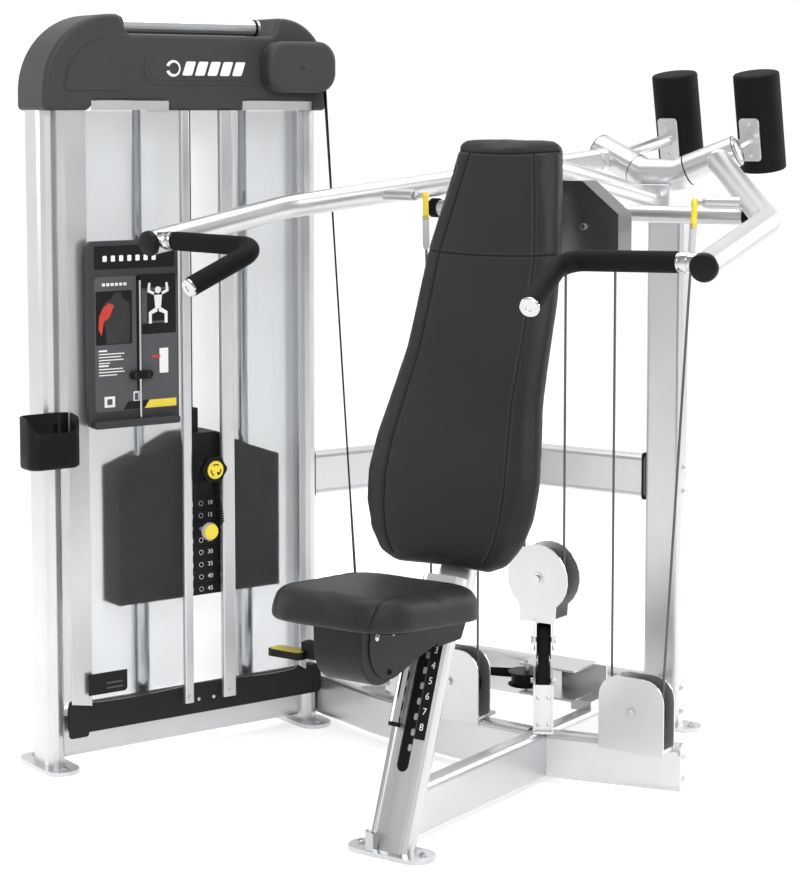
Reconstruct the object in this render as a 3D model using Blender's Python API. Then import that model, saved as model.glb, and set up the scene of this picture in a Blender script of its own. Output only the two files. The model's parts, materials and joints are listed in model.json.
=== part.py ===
"""Selectorised overhead press: weight tower, press arms, seat and the cable and belt drive between them.

Metres, +Z up. The user sits in the plane X = 0 and faces -Y. The origin is on the floor, under the
middle of the rear upright. The weight tower stands on the -X side, turned by TOWER_ANGLE.
"""
import math

import bmesh
import bpy
from mathutils import Vector

for old in list(bpy.data.objects):
    bpy.data.objects.remove(old, do_unlink=True)

# Frame tubes and plates
GAP = 0.0003                       # clearance between pieces that touch
RUN = 0.001                        # clearance between pieces that turn or slide
TUBE_THIN, TUBE_WIDE = 0.05, 0.10  # oval tube of the uprights and the seat post
BEAM_HIGH = 0.11                   # height of the floor beams and of the brace
BEAM_MID = 0.075                   # height of a floor beam's middle
BRACE_MID = 0.6475
FOOT_THICK = 0.010
FOOT_LONG, FOOT_WIDE = 0.21, 0.085
UPRIGHT_TOP = 1.33

# Weight tower, in its own w (from the rear upright to the front one), d (towards the user) and z
TOWER_ANGLE = math.radians(20)
TOWER_CORNER = Vector((-0.805, -0.489, 0))
TOWER_WIDE = 0.725                 # between the middles of the two uprights
TOWER_POST_TOP = 1.60
COVER_LOW, COVER_HIGH, COVER_TOP = 1.583, 1.765, 1.811
COVER_BACK, COVER_FRONT = -0.062, 0.082
EAR_FRONT = 0.132
SLOT_MID, SLOT_HALF = 0.3215, 0.0425
RAIL_BACK, RAIL_FRONT = 0.0623, 0.078
SKIRT_LOW, SKIRT_HIGH = 0.085, 0.160
ROD_APART = 0.30
ROD_RADIUS = 0.0125

# Weight stack
STACK_LOW, STACK_SPLIT, STACK_TOP = 0.378, 0.5315, 0.6245
PLATE_WIDE, PLATE_DEEP = 0.46, 0.084
PIN_HIGH = 0.545
KNOB_HIGH = 0.700
HEAD_TOP = 0.786
STEM_TOP = 0.845

# Seat post and seat
POST_LEAN = math.radians(20.3)
POST_FOOT_Y = -1.232
POST_TOP = 0.565
SEAT_FRONT, SEAT_LOW = -1.50, 0.537          # lower front edge of the seat pad
SEAT_LONG, SEAT_WIDE, SEAT_THICK = 0.40, 0.36, 0.075
SEAT_TILT = math.radians(4.5)               # the seat falls towards the back

# Press arms, right-hand values; the left arm mirrors them
SEAM = Vector((0.072, -0.036, 1.434))       # where the hub turns against the fixed barrel
HUB_AXIS = Vector((0.908, 0.187, 0.372)).normalized()
HUB_LONG, HUB_RADIUS = 0.135, 0.039
ARM_RADIUS = 0.0285
ARM_ROOT = Vector((0.145, -0.021, 1.463))
ARM_BEND = Vector((0.640, -0.770, 1.350))
ARM_END = Vector((0.703, -1.186, 1.281))
GRIP_START = Vector((0.640, -1.174, 1.288))
GRIP_BEND = Vector((0.383, -1.186, 1.283))
GRIP_END = Vector((0.426, -1.376, 1.205))
GRIP_RADIUS = 0.022
WEIGHT_TOP = Vector((0.118, 0.248, 1.680))
WEIGHT_LOW = Vector((0.118, 0.300, 1.430))
WEIGHT_RADIUS = 0.060
EYE = Vector((0.363, -0.565, 1.378))        # where the press cable hangs from the arm's stub

# Cable drive: every cable pulley turns in one plane across the machine
CABLE_Y = -0.605
CABLE_RADIUS = 0.003
PULLEY_RADIUS = 0.065                       # to the middle of the cable
FLOOR_X, FLOOR_Z = 0.249, 0.212
UPPER_X, UPPER_Z = 0.119, 1.320
FLOAT_RADIUS, FLOAT_Z = 0.054, 0.493

# Belt drive
BELT_WIDE, BELT_THICK = 0.026, 0.002
BELT_RADIUS = 0.040                         # to the middle of the belt, on every belt pulley
BELT_Z = 0.184                              # height of the belt's floor runs
FLOAT_WHEEL_Z = 0.3425
CHANNEL = Vector((-0.171, -0.400, BELT_Z))
CORNER = Vector((-0.560, -0.500, BELT_Z + BELT_RADIUS))
TOP_PULLEY_Z = 1.690
EAR_W, EAR_D = 0.030, 0.092

UP = Vector((0, 0, 1))
ALONG_W = Vector((-math.sin(TOWER_ANGLE), -math.cos(TOWER_ANGLE), 0))
ALONG_D = Vector((math.cos(TOWER_ANGLE), -math.sin(TOWER_ANGLE), 0))
POST_AXIS = Vector((0, math.sin(POST_LEAN), math.cos(POST_LEAN)))
POST_BACK = Vector((0, math.cos(POST_LEAN), -math.sin(POST_LEAN)))


def tower(w, d, z):
    """Point of the weight tower, from its own w, d and z."""
    return TOWER_CORNER + ALONG_W * w + ALONG_D * d + UP * z


def mirrored(point, side):
    """Point on the right (side 1) or left (side -1) of the machine."""
    return Vector((point[0] * side, point[1], point[2]))


def paint(name, colour, roughness, metallic):
    """Material with one Principled BSDF."""
    material = bpy.data.materials.new(name)
    material.use_nodes = True
    shader = material.node_tree.nodes["Principled BSDF"]
    shader.inputs["Base Color"].default_value = (*colour, 1)
    shader.inputs["Roughness"].default_value = roughness
    shader.inputs["Metallic"].default_value = metallic
    return material


SILVER = paint("silver_powder_coat", (0.72, 0.73, 0.74), 0.38, 0.6)
CHROME = paint("chrome", (0.85, 0.86, 0.87), 0.12, 1.0)
STEEL = paint("bright_steel", (0.66, 0.67, 0.68), 0.30, 1.0)
CHARCOAL = paint("charcoal_plastic", (0.055, 0.057, 0.060), 0.50, 0.0)
BLACK = paint("black_plastic", (0.015, 0.015, 0.016), 0.45, 0.0)
RUBBER = paint("black_rubber", (0.020, 0.020, 0.022), 0.75, 0.0)
VINYL = paint("charcoal_vinyl", (0.060, 0.060, 0.062), 0.42, 0.0)
FROSTED = paint("frosted_shield", (0.70, 0.72, 0.74), 0.30, 0.3)
IRON = paint("black_iron", (0.030, 0.031, 0.033), 0.55, 0.3)
YELLOW = paint("yellow_plastic", (0.80, 0.58, 0.02), 0.45, 0.0)
CABLE = paint("coated_cable", (0.16, 0.17, 0.18), 0.45, 0.0)


def solid(name, verts, faces, material, origin=(0, 0, 0), smooth=True):
    """Closed mesh object from world coordinates, with its origin at the given point."""
    shape = bmesh.new()
    made = [shape.verts.new(Vector(v) - Vector(origin)) for v in verts]
    for face in faces:
        shape.faces.new([made[i] for i in face])
    bmesh.ops.recalc_face_normals(shape, faces=shape.faces)
    mesh = bpy.data.meshes.new(name)
    shape.to_mesh(mesh)
    shape.free()
    mesh.materials.append(material)
    if smooth:
        mesh.shade_smooth()
        mesh.set_sharp_from_angle(angle=math.radians(35))
    piece = bpy.data.objects.new(name, mesh)
    piece.location = origin
    bpy.context.collection.objects.link(piece)
    return piece


def stacked(rings):
    """Vertices and faces of a solid through equal rings of points, capped at both ends."""
    count = len(rings[0])
    verts = [p for ring in rings for p in ring]
    faces = [tuple(range(count)), tuple(range(len(verts) - count, len(verts)))]
    for row in range(len(rings) - 1):
        for i in range(count):
            a, b = row * count + i, row * count + (i + 1) % count
            faces.append((a, b, b + count, a + count))
    return verts, faces


def circle(radius, steps=16):
    """Round profile."""
    turn = 2 * math.pi / steps
    return [(radius * math.cos(i * turn), radius * math.sin(i * turn)) for i in range(steps)]


def arc(mid_a, mid_b, radius, start, end, steps):
    """Points of an arc in a plane, angles in degrees, both ends included."""
    angles = [math.radians(start + (end - start) * i / steps) for i in range(steps + 1)]
    return [(mid_a + radius * math.cos(t), mid_b + radius * math.sin(t)) for t in angles]


def rounded(wide, high, radius, steps=3):
    """Rectangle with round corners, as a profile about its middle."""
    a, b = wide / 2 - radius, high / 2 - radius
    points = []
    for mid_a, mid_b, start in ((a, b, 0), (-a, b, 90), (-a, -b, 180), (a, -b, 270)):
        points += arc(mid_a, mid_b, radius, start, start + 90, steps)
    return points


def filleted(points, radius, steps=8):
    """Path with each inner corner replaced by an arc of the given radius."""
    points = [Vector(p) for p in points]
    path = [points[0]]
    for before, corner, after in zip(points, points[1:], points[2:]):
        a, b = (before - corner).normalized(), (after - corner).normalized()
        half = a.angle(b) / 2
        middle = corner + (a + b).normalized() * radius / math.sin(half)
        start = corner + a * radius / math.tan(half)
        end = corner + b * radius / math.tan(half)
        for i in range(steps + 1):
            path.append(middle + (start - middle).slerp(end - middle, i / steps).normalized() * radius)
    path.append(points[-1])
    return path


def sweep(name, points, profile, material, up=UP, start=None, end=None, origin=(0, 0, 0)):
    """Profile (side, up) carried along a path and mitred at each corner.

    start and end are the normals of the planes that cut its two ends; square ends if left out.
    """
    points = [Vector(p) for p in points]
    runs = [(b - a).normalized() for a, b in zip(points, points[1:])]
    side = runs[0].cross(up).normalized()
    top = side.cross(runs[0])
    ring = [points[0] + side * a + top * b for a, b in profile]
    rings = []
    for i, point in enumerate(points):
        run = runs[max(i - 1, 0)]
        if i == 0:
            normal = start or run
        elif i == len(points) - 1:
            normal = end or run
        else:
            normal = runs[i - 1] + runs[i]
        ring = [p + run * ((point - p).dot(normal) / run.dot(normal)) for p in ring]
        rings.append(ring)
    return solid(name, *stacked(rings), material, origin)


def prism(name, outline, corner, across, upward, depth, material, origin=(0, 0, 0)):
    """Outline in the plane of across and upward, extruded both ways by half of depth."""
    normal = Vector(across).cross(upward).normalized() * depth / 2
    flat = [Vector(corner) + Vector(across) * a + Vector(upward) * b for a, b in outline]
    return solid(name, *stacked([[p - normal for p in flat], [p + normal for p in flat]]), material, origin)


def block(name, low, high, material, origin=(0, 0, 0)):
    """Box between two corners."""
    (x0, y0, z0), (x1, y1, z1) = low, high
    rings = [[Vector((x0, y0, z)), Vector((x1, y0, z)), Vector((x1, y1, z)), Vector((x0, y1, z))]
             for z in (z0, z1)]
    return solid(name, *stacked(rings), material, origin, smooth=False)


def tower_block(name, w, d, z, material):
    """Box in the tower's own directions, each range a (low, high) pair."""
    rings = [[tower(w[i], d[j], height) for i, j in ((0, 0), (1, 0), (1, 1), (0, 1))] for height in z]
    return solid(name, *stacked(rings), material, smooth=False)


def turned(name, profile, middle, axis, material, steps=24, origin=None):
    """Solid of revolution. profile lists (radius, height); a profile off the axis closes on itself."""
    axis = Vector(axis).normalized()
    side = axis.orthogonal().normalized()
    other = axis.cross(side)
    verts, rows = [], []
    for radius, height in profile:
        base = Vector(middle) + axis * height
        if radius == 0:
            rows.append([len(verts)] * steps)
            verts.append(base)
            continue
        rows.append(list(range(len(verts), len(verts) + steps)))
        verts += [base + side * a + other * b for a, b in circle(radius, steps)]
    pairs = list(zip(rows, rows[1:]))
    if profile[0][0] > 0:
        pairs.append((rows[-1], rows[0]))
    faces = []
    for low, high in pairs:
        for i in range(steps):
            j = (i + 1) % steps
            face = list(dict.fromkeys((low[i], low[j], high[j], high[i])))
            faces.append(tuple(face))
    return solid(name, verts, faces, material, middle if origin is None else origin)


def rod(name, start, end, radius, material, steps=16, origin=(0, 0, 0)):
    """Plain round bar between two points."""
    return sweep(name, [start, end], circle(radius, steps), material,
                 up=(Vector(end) - Vector(start)).orthogonal(), origin=origin)


def combine(piece, tool, operation):
    """Boolean of piece with a guide solid, which stays out of the model."""
    tool.hide_render = True
    tool.display_type = "WIRE"
    change = piece.modifiers.new(tool.name, "BOOLEAN")
    change.operation = operation
    change.solver = "EXACT"
    change.object = tool


def weld(piece, *tools):
    for tool in tools:
        combine(piece, tool, "UNION")


def cut(piece, *tools):
    for tool in tools:
        combine(piece, tool, "DIFFERENCE")


def foot(piece, middle, along, across):
    """Weld a round-cornered foot plate with two bolt holes under a post."""
    outline = rounded(FOOT_LONG, FOOT_WIDE, 0.04)
    plate = prism(f"{piece.name}_foot", outline, Vector(middle) + UP * FOOT_THICK / 2,
                  along, across, FOOT_THICK, SILVER)
    weld(piece, plate)
    for end in (-1, 1):
        at = Vector(middle) + Vector(along) * end * (FOOT_LONG / 2 - 0.025)
        cut(piece, rod(f"{piece.name}_hole", at - UP * 0.01, at + UP * 0.03, 0.0065, STEEL, 12))


# ---------------------------------------------------------------- weight tower

def tower_frame():
    oval = rounded(TUBE_THIN, TUBE_WIDE, 0.024)
    for name, w in (("tower_rear_upright", 0), ("tower_front_upright", TOWER_WIDE)):
        post = sweep(name, [tower(w, 0, 0.005), tower(w, 0, TOWER_POST_TOP)], oval, SILVER, up=ALONG_D)
        foot(post, tower(w, 0, 0), ALONG_D, ALONG_W)
    inner = TUBE_THIN / 2 + GAP
    sweep("tower_base_beam", [tower(inner, 0, BEAM_MID), tower(TOWER_WIDE - inner, 0, BEAM_MID)],
          rounded(TUBE_THIN, BEAM_HIGH, 0.014), SILVER)


def cover_outline(inset):
    """Outer edge of the top cover in w and z, or the edge of the hollow inside it."""
    low = COVER_LOW if inset == 0 else COVER_LOW - 0.02
    left, right = 0.757 - inset, -0.033 + inset
    outline = [(right, low)]
    if inset == 0:
        for start, end in ((0.010, 0.220), (0.420, 0.637)):
            outline += [(start, low), (start + 0.02, low + 0.016), (end - 0.02, low + 0.016), (end, low)]
    outline.append((left, low))
    outline += arc(left - 0.185, COVER_TOP - 0.185 - inset, 0.185, 0, 90, 8)
    if inset == 0:
        outline += [(0.548, COVER_TOP), (0.530, COVER_HIGH), (0.125, COVER_HIGH), (0.108, COVER_TOP)]
    else:
        outline += [(0.556, COVER_TOP - inset), (0.540, COVER_HIGH - inset),
                    (0.115, COVER_HIGH - inset), (0.100, COVER_TOP - inset)]
    outline += arc(right + 0.13, COVER_TOP - 0.13 - inset, 0.13, 90, 180, 8)
    return outline


def top_cover():
    """Moulded cover over both uprights, hollow and open below, with a pulley ear at its front."""
    wall = 0.006
    middle = (COVER_BACK + COVER_FRONT) / 2
    depth = COVER_FRONT - COVER_BACK
    cover = prism("top_cover", cover_outline(0), tower(0, middle, 0), ALONG_W, UP, depth, CHARCOAL)
    ear = rounded(0.202, 0.129, 0.045, 5)
    ear_middle = tower(0.067, EAR_FRONT / 2, 1.6905)
    weld(cover, prism("ear", ear, ear_middle, ALONG_W, UP, EAR_FRONT, CHARCOAL))
    cut(cover, prism("cover_hollow", cover_outline(wall), tower(0, middle, 0), ALONG_W, UP,
                     depth - 2 * wall, CHARCOAL))
    inner = rounded(0.190, 0.117, 0.040, 5)
    ear_hollow = tower(0.067, EAR_FRONT / 2 - wall, 1.6905)
    cut(cover, prism("ear_hollow", inner, ear_hollow, ALONG_W, UP, EAR_FRONT, CHARCOAL))
    mouth = (-0.022, 0.060), (0.045, EAR_FRONT - wall), (1.60, 1.66)
    cut(cover, tower_block("ear_mouth", *mouth, CHARCOAL))
    handle_z = COVER_HIGH + 0.0225
    rod("top_handle", tower(0.1305, 0.012, handle_z), tower(0.5250, 0.012, handle_z), 0.0200, SILVER)


def shield(name, outer, inner):
    """Frosted front panel, bowed forwards, between an upright's side and a slot rail."""
    back_edge, steps = 0.034, 10
    front = []
    for i in range(steps + 1):
        share = i / steps
        rise = back_edge + (0.068 - back_edge) * min(1, share * 5)
        front.append((outer + (inner - outer) * share, rise + 0.016 * math.sin(math.pi * share)))
    strip = front + [(w, d - 0.003) for w, d in reversed(front)]
    middle = (SKIRT_HIGH + COVER_LOW) / 2
    prism(name, strip, tower(0, 0, middle), ALONG_W, ALONG_D, COVER_LOW - SKIRT_HIGH - 2 * GAP, FROSTED)


def tower_skin():
    edge = TUBE_THIN / 2 + GAP
    left, right = SLOT_MID + SLOT_HALF, SLOT_MID - SLOT_HALF - 0.037
    for name, w, wide in (("rail_left", left, 0.025), ("rail_right", right, 0.037)):
        middle = tower(w + wide / 2, (RAIL_BACK + RAIL_FRONT) / 2, 0)
        sweep(name, [middle + UP * 0.118, middle + UP * (COVER_LOW - GAP)],
              rounded(wide, RAIL_FRONT - RAIL_BACK, 0.004, 2), SILVER, up=ALONG_D)
    shield("shield_left", TOWER_WIDE - edge, left + 0.025 + GAP)
    shield("shield_right", edge, right - GAP)
    skirt = rounded(0.722, SKIRT_HIGH - SKIRT_LOW, 0.012)
    middle = tower(0.339, (0.0503 + 0.062) / 2, (SKIRT_LOW + SKIRT_HIGH) / 2)
    prism("bottom_skirt", skirt, middle, ALONG_W, UP, 0.062 - 0.0503, CHARCOAL)
    steps = 12
    back = []
    for i in range(steps + 1):
        share = i / steps
        w = edge + (TOWER_WIDE - 2 * edge) * share
        back.append((w, -0.030 - 0.028 * math.sin(math.pi * share) ** 0.5))
    strip = back + [(w, d + 0.003) for w, d in reversed(back)]
    low = BEAM_MID + BEAM_HIGH / 2 + GAP
    prism("rear_shroud", strip, tower(0, 0, (low + COVER_LOW) / 2), ALONG_W, ALONG_D,
          COVER_LOW - low - 2 * GAP, FROSTED)


def tower_trim():
    placard = tower_block("placard", (0.415, 0.662), (0.088, 0.106), (0.830, 1.275), CHARCOAL)
    weld(placard, tower_block("placard_tray", (0.425, 0.655), (0.100, 0.128), (0.830, 0.848), CHARCOAL))
    middle = tower(0.524, 0.1148, 0.952)
    slider = prism("counter_slider", rounded(0.062, 0.018, 0.008), middle, ALONG_W, UP,
                   0.010, BLACK, origin=middle)
    weld(slider, tower_block("slider_tongue", (0.520, 0.528), (0.1068, 0.112), (0.925, 0.975), BLACK))
    holder = tower_block("bottle_holder", (0.690, 0.825), (0.0505, 0.130), (0.745, 0.870), CHARCOAL)
    cut(holder, tower_block("holder_hollow", (0.696, 0.819), (0.0565, 0.124), (0.752, 0.900), CHARCOAL))


# ---------------------------------------------------------------- weight stack

def weight_stack():
    rods = [SLOT_MID + side * ROD_APART / 2 for side in (-1, 1)]
    beam_top = BEAM_MID + BEAM_HIGH / 2 + GAP
    for name, w in zip(("guide_rod_right", "guide_rod_left"), rods):
        profile = [(0, beam_top), (0.022, beam_top), (0.022, STACK_LOW - GAP),
                   (ROD_RADIUS, STACK_LOW - GAP), (ROD_RADIUS, 1.640), (0, 1.640)]
        turned(name, profile, tower(w, 0, 0), UP, CHROME, 16, origin=(0, 0, 0))

    half = PLATE_WIDE / 2
    wide, deep = (SLOT_MID - half, SLOT_MID + half), (-PLATE_DEEP / 2, PLATE_DEEP / 2)
    resting = tower_block("resting_plates", wide, deep, (STACK_LOW, STACK_SPLIT - GAP), IRON)
    lifted = tower_block("lifted_plates", wide, deep, (STACK_SPLIT, STACK_TOP - GAP), IRON)
    w0, w1 = wide
    mid = SLOT_MID
    outline = [(w0, STACK_TOP), (w1, STACK_TOP), (w1, 0.715), (mid + 0.13, 0.750),
               (mid + 0.05, HEAD_TOP), (mid - 0.05, HEAD_TOP), (mid - 0.13, 0.750), (w0, 0.715)]
    head = prism("head_plate", outline, tower(0, 0, 0), ALONG_W, UP, PLATE_DEEP, IRON)
    post = (mid - 0.010, mid + 0.010), (-0.015, 0.015), (HEAD_TOP - 0.01, STEM_TOP)
    weld(head, tower_block("belt_post", *post, IRON))
    stem = tower(mid, 0, STACK_LOW + 0.01), tower(mid, 0, STACK_TOP + 0.01)
    weld(head, rod("stem", *stem, 0.0120, STEEL, 12))
    for plates in (resting, lifted, head):
        for side, w in zip("ab", rods):
            hole = tower(w, 0, 0.3), tower(w, 0, 0.9)
            cut(plates, rod(f"rod_hole_{side}", *hole, 0.0140, IRON, 16))
    for plates in (resting, lifted):
        cut(plates, rod("stem_hole", tower(mid, 0, 0.3), tower(mid, 0, 0.7), 0.0145, IRON, 12))
    pin_hole = rod("pin_hole", tower(mid, 0.001, PIN_HIGH), tower(mid, 0.06, PIN_HIGH), 0.0062, IRON, 12)
    cut(lifted, pin_hole)

    pin_profile = [(0, -0.064), (0.0050, -0.064), (0.0050, -0.002), (0.0070, 0),
                   (0.0220, 0.002), (0.0220, 0.010), (0.0190, 0.014), (0, 0.014)]
    pin = tower(mid, 0.079, PIN_HIGH)
    turned("selector_pin", pin_profile, pin, ALONG_D, YELLOW, 20)
    knob = tower(mid - 0.008, PLATE_DEEP / 2 + GAP, KNOB_HIGH)
    knob_profile = [(0, 0), (0.016, 0), (0.016, 0.037), (0.036, 0.039),
                    (0.036, 0.056), (0.029, 0.061), (0, 0.061)]
    turned("increment_knob", knob_profile, knob, ALONG_D, BLACK, 24)
    route = [(0.018, 0.089, 0.655), (0.023, 0.090, 0.620), (0.028, 0.090, 0.590), (0.031, 0.090, 0.562)]
    hanging = [tower(mid - aside, d, z) for aside, d, z in route]
    sweep("lanyard", hanging, circle(0.0085, 10), RUBBER, up=ALONG_D)


# ---------------------------------------------------------------- floor frame

def brace_path(z):
    """From the tower's rear upright straight back, then across to the machine's rear upright."""
    start = tower(-(TUBE_THIN / 2 + GAP), 0, z)
    corner_x = start.x - start.y * math.tan(TOWER_ANGLE)
    return filleted([start, (corner_x, 0, z), (-(TUBE_WIDE / 2 + GAP), 0, z)], 0.12, 6)


def pulley_stand(name, piece, x):
    """Weld two cheeks and an axle for a floor pulley onto a wing beam."""
    outline = [(-0.084, 0.118), (0.084, 0.118)]
    outline += arc(0.032, 0.240, 0.052, 0, 90, 6) + arc(-0.032, 0.240, 0.052, 90, 180, 6)
    for label, y in (("front", CABLE_Y - 0.026), ("back", CABLE_Y + 0.026)):
        low = 0.118 if label == "front" else 0.127
        cheek = [(a, max(b, low)) for a, b in outline]
        weld(piece, prism(f"{name}_{label}", cheek, (x, y, 0), (1, 0, 0), UP, 0.004, SILVER))
    weld(piece, block(f"{name}_base", (x - 0.080, CABLE_Y - 0.025, 0.125),
                      (x + 0.080, CABLE_Y + 0.058, 0.1335), SILVER))
    axle = (x, CABLE_Y - 0.031, FLOOR_Z), (x, CABLE_Y + 0.031, FLOOR_Z)
    weld(piece, rod(f"{name}_axle", *axle, 0.006, STEEL, 12))


def floor_frame():
    beam = rounded(TUBE_THIN, BEAM_HIGH, 0.014)
    x_side = Vector((1, 0, 0))
    sweep("cross_beam", brace_path(BEAM_MID), beam, SILVER)
    sweep("mid_brace", brace_path(BRACE_MID), beam, SILVER)
    upright = rounded(TUBE_WIDE, TUBE_THIN, 0.012)
    post = sweep("rear_upright", [(0, 0, 0.005), (0, 0, UPRIGHT_TOP)], upright, SILVER, up=Vector((0, 1, 0)))
    foot(post, (0, 0, 0), x_side, Vector((0, 1, 0)))

    side = TUBE_THIN / 2 + GAP
    start = tower(-0.050, side, BEAM_MID)
    bend = (-0.520, start.y - (-0.520 - start.x) * math.tan(TOWER_ANGLE), BEAM_MID)
    left = filleted([start, bend, (-0.249, -0.600, BEAM_MID), (-side, -0.614, BEAM_MID)], 0.40, 4)
    wing = sweep("wing_left", left, beam, SILVER, start=ALONG_D, end=x_side)
    pulley_stand("stand_left", wing, -FLOOR_X)
    corner_stand(wing)

    lean = math.tan(math.radians(12.5))
    right = [(side, -0.614 + side * lean, BEAM_MID), (0.330, -0.614 + 0.330 * lean, BEAM_MID)]
    wing = sweep("wing_right", right, beam, SILVER, start=x_side)
    plate = rounded(0.052, 0.114, 0.024)
    run = (Vector(right[1]) - Vector(right[0])).normalized()
    end = Vector(right[1])
    weld(wing, sweep("wing_end", [end - run * 0.001, end + run * 0.006], plate, SILVER))
    pulley_stand("stand_right", wing, FLOOR_X)

    back = Vector((0, POST_FOOT_Y, 0)) + POST_AXIS * (BEAM_MID / POST_AXIS.z)
    back += POST_BACK * (TUBE_THIN / 2 + GAP)
    begin = Vector((0, back.y + (back.z - BEAM_MID) * POST_BACK.z / POST_BACK.y, BEAM_MID))
    centre = sweep("centre_beam", [begin, (0, -side, BEAM_MID)], beam, SILVER, start=POST_BACK)
    channel_bracket(centre)


def corner_stand(piece):
    """Weld cheeks and an axle for the belt's corner pulley onto the left wing."""
    run = belt_heading()
    across = run.cross(UP)
    for label, side in (("a", -1), ("b", 1)):
        at = CORNER + across * side * 0.0215
        cheek = [(-0.030, 0.125), (0.034, 0.125)] + arc(0.002, CORNER.z, 0.032, 0, 180, 8)
        weld(piece, prism(f"corner_cheek_{label}", cheek, (at.x, at.y, 0), run, UP, 0.004, SILVER))
    weld(piece, rod("corner_axle", CORNER - across * 0.0265, CORNER + across * 0.0265, 0.006, STEEL, 12))


def channel_bracket(piece):
    """Weld two shelves and a web onto the centre beam, for the pulley that turns between them."""
    x, y = CHANNEL.x, CHANNEL.y
    for label, z in (("low", 0.1475), ("high", 0.2195)):
        low, high = (x - 0.010, y - 0.020, z), (-0.0245, y + 0.100, z + 0.005)
        weld(piece, block(f"shelf_{label}", low, high, SILVER))
    weld(piece, block("shelf_web", (x + 0.060, y + 0.070, 0.126), (0.015, y + 0.0755, 0.2245), SILVER))
    weld(piece, block("shelf_foot", (x + 0.130, y - 0.005, 0.126), (0.015, y + 0.074, 0.151), SILVER))
    weld(piece, rod("channel_axle", (x, y, 0.1445), (x, y, 0.2285), 0.006, STEEL, 12))


def rear_pivot_frame():
    """Fixed barrel that the arms turn on, its saddle, the tube to the back pad and the arms' stop bar."""
    bend = SEAM - HUB_AXIS * 0.028
    bends = [mirrored(SEAM, -1), mirrored(bend, -1), bend, SEAM]
    barrel = sweep("pivot_frame", bends, circle(HUB_RADIUS, 20), SILVER)
    weld(barrel, block("saddle", (-0.045, -0.085, UPRIGHT_TOP + GAP), (0.045, 0.022, 1.400), SILVER))
    spar = sweep("spar", [(0, -0.050, 1.357), (0, -0.680, 1.468)], circle(0.025, 16), SILVER)
    weld(barrel, spar)
    weld(barrel, rod("stop_bar", (-0.440, -0.420, 1.342), (0.440, -0.420, 1.342), 0.0200, SILVER, 16))
    weld(barrel, block("stop_neck", (-0.020, -0.438, 1.345), (0.020, -0.402, 1.420), SILVER))


def seat_post():
    """Leaning post with its foot, and the tube behind the back pad that carries on from it."""
    base = Vector((0, POST_FOOT_Y, 0))
    top = base + POST_AXIS * (POST_TOP / POST_AXIS.z)
    post = sweep("seat_post", [base + POST_AXIS * 0.005, top], rounded(TUBE_WIDE, TUBE_THIN, 0.018), SILVER,
                 up=Vector((0, 1, 0)), start=UP)
    foot(post, (0, POST_FOOT_Y, 0), Vector((1, 0, 0)), Vector((0, 1, 0)))
    back = [(0, -1.030, 0.440), (0, -0.955, 0.610), (0, -0.700, 1.395)]
    weld(post, sweep("back_tube", back, rounded(0.080, 0.040, 0.010), SILVER, up=Vector((0, 1, 0))))
    face = base - POST_BACK * TUBE_THIN / 2
    slot = rounded(0.030, 0.308, 0.0149, 6)
    cut(post, prism("height_slot", slot, face + POST_AXIS * 0.326, (1, 0, 0), POST_AXIS, 0.030, BLACK))


# ---------------------------------------------------------------- seat

def pad_ring(half_wide, thick, y, z, lean):
    """Oval section of the back pad at one height."""
    outline = rounded(2 * half_wide, thick, min(0.034, thick / 2 - 0.001), 3)
    return [Vector((a, y + b * math.cos(lean), z - b * math.sin(lean))) for a, b in outline]


def back_pad():
    """Leaning pad: narrow at the head, wide at the hips. Stations are (height, half width, y, thickness)."""
    stations = [(0.583, 0.120, -1.034, 0.050), (0.605, 0.170, -1.030, 0.068),
                (0.650, 0.205, -1.022, 0.075), (0.710, 0.226, -1.012, 0.075),
                (0.780, 0.232, -1.000, 0.075), (0.860, 0.223, -0.978, 0.075),
                (0.950, 0.206, -0.945, 0.075), (1.050, 0.194, -0.899, 0.075),
                (1.160, 0.190, -0.860, 0.075), (1.270, 0.182, -0.828, 0.075),
                (1.380, 0.163, -0.795, 0.075), (1.470, 0.146, -0.771, 0.075),
                (1.508, 0.138, -0.762, 0.068), (1.522, 0.120, -0.759, 0.050)]
    lean = math.radians(15)
    rings = [pad_ring(half, thick, y, z, lean) for z, half, y, thick in stations]
    solid("back_pad", *stacked(rings), VINYL)


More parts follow.
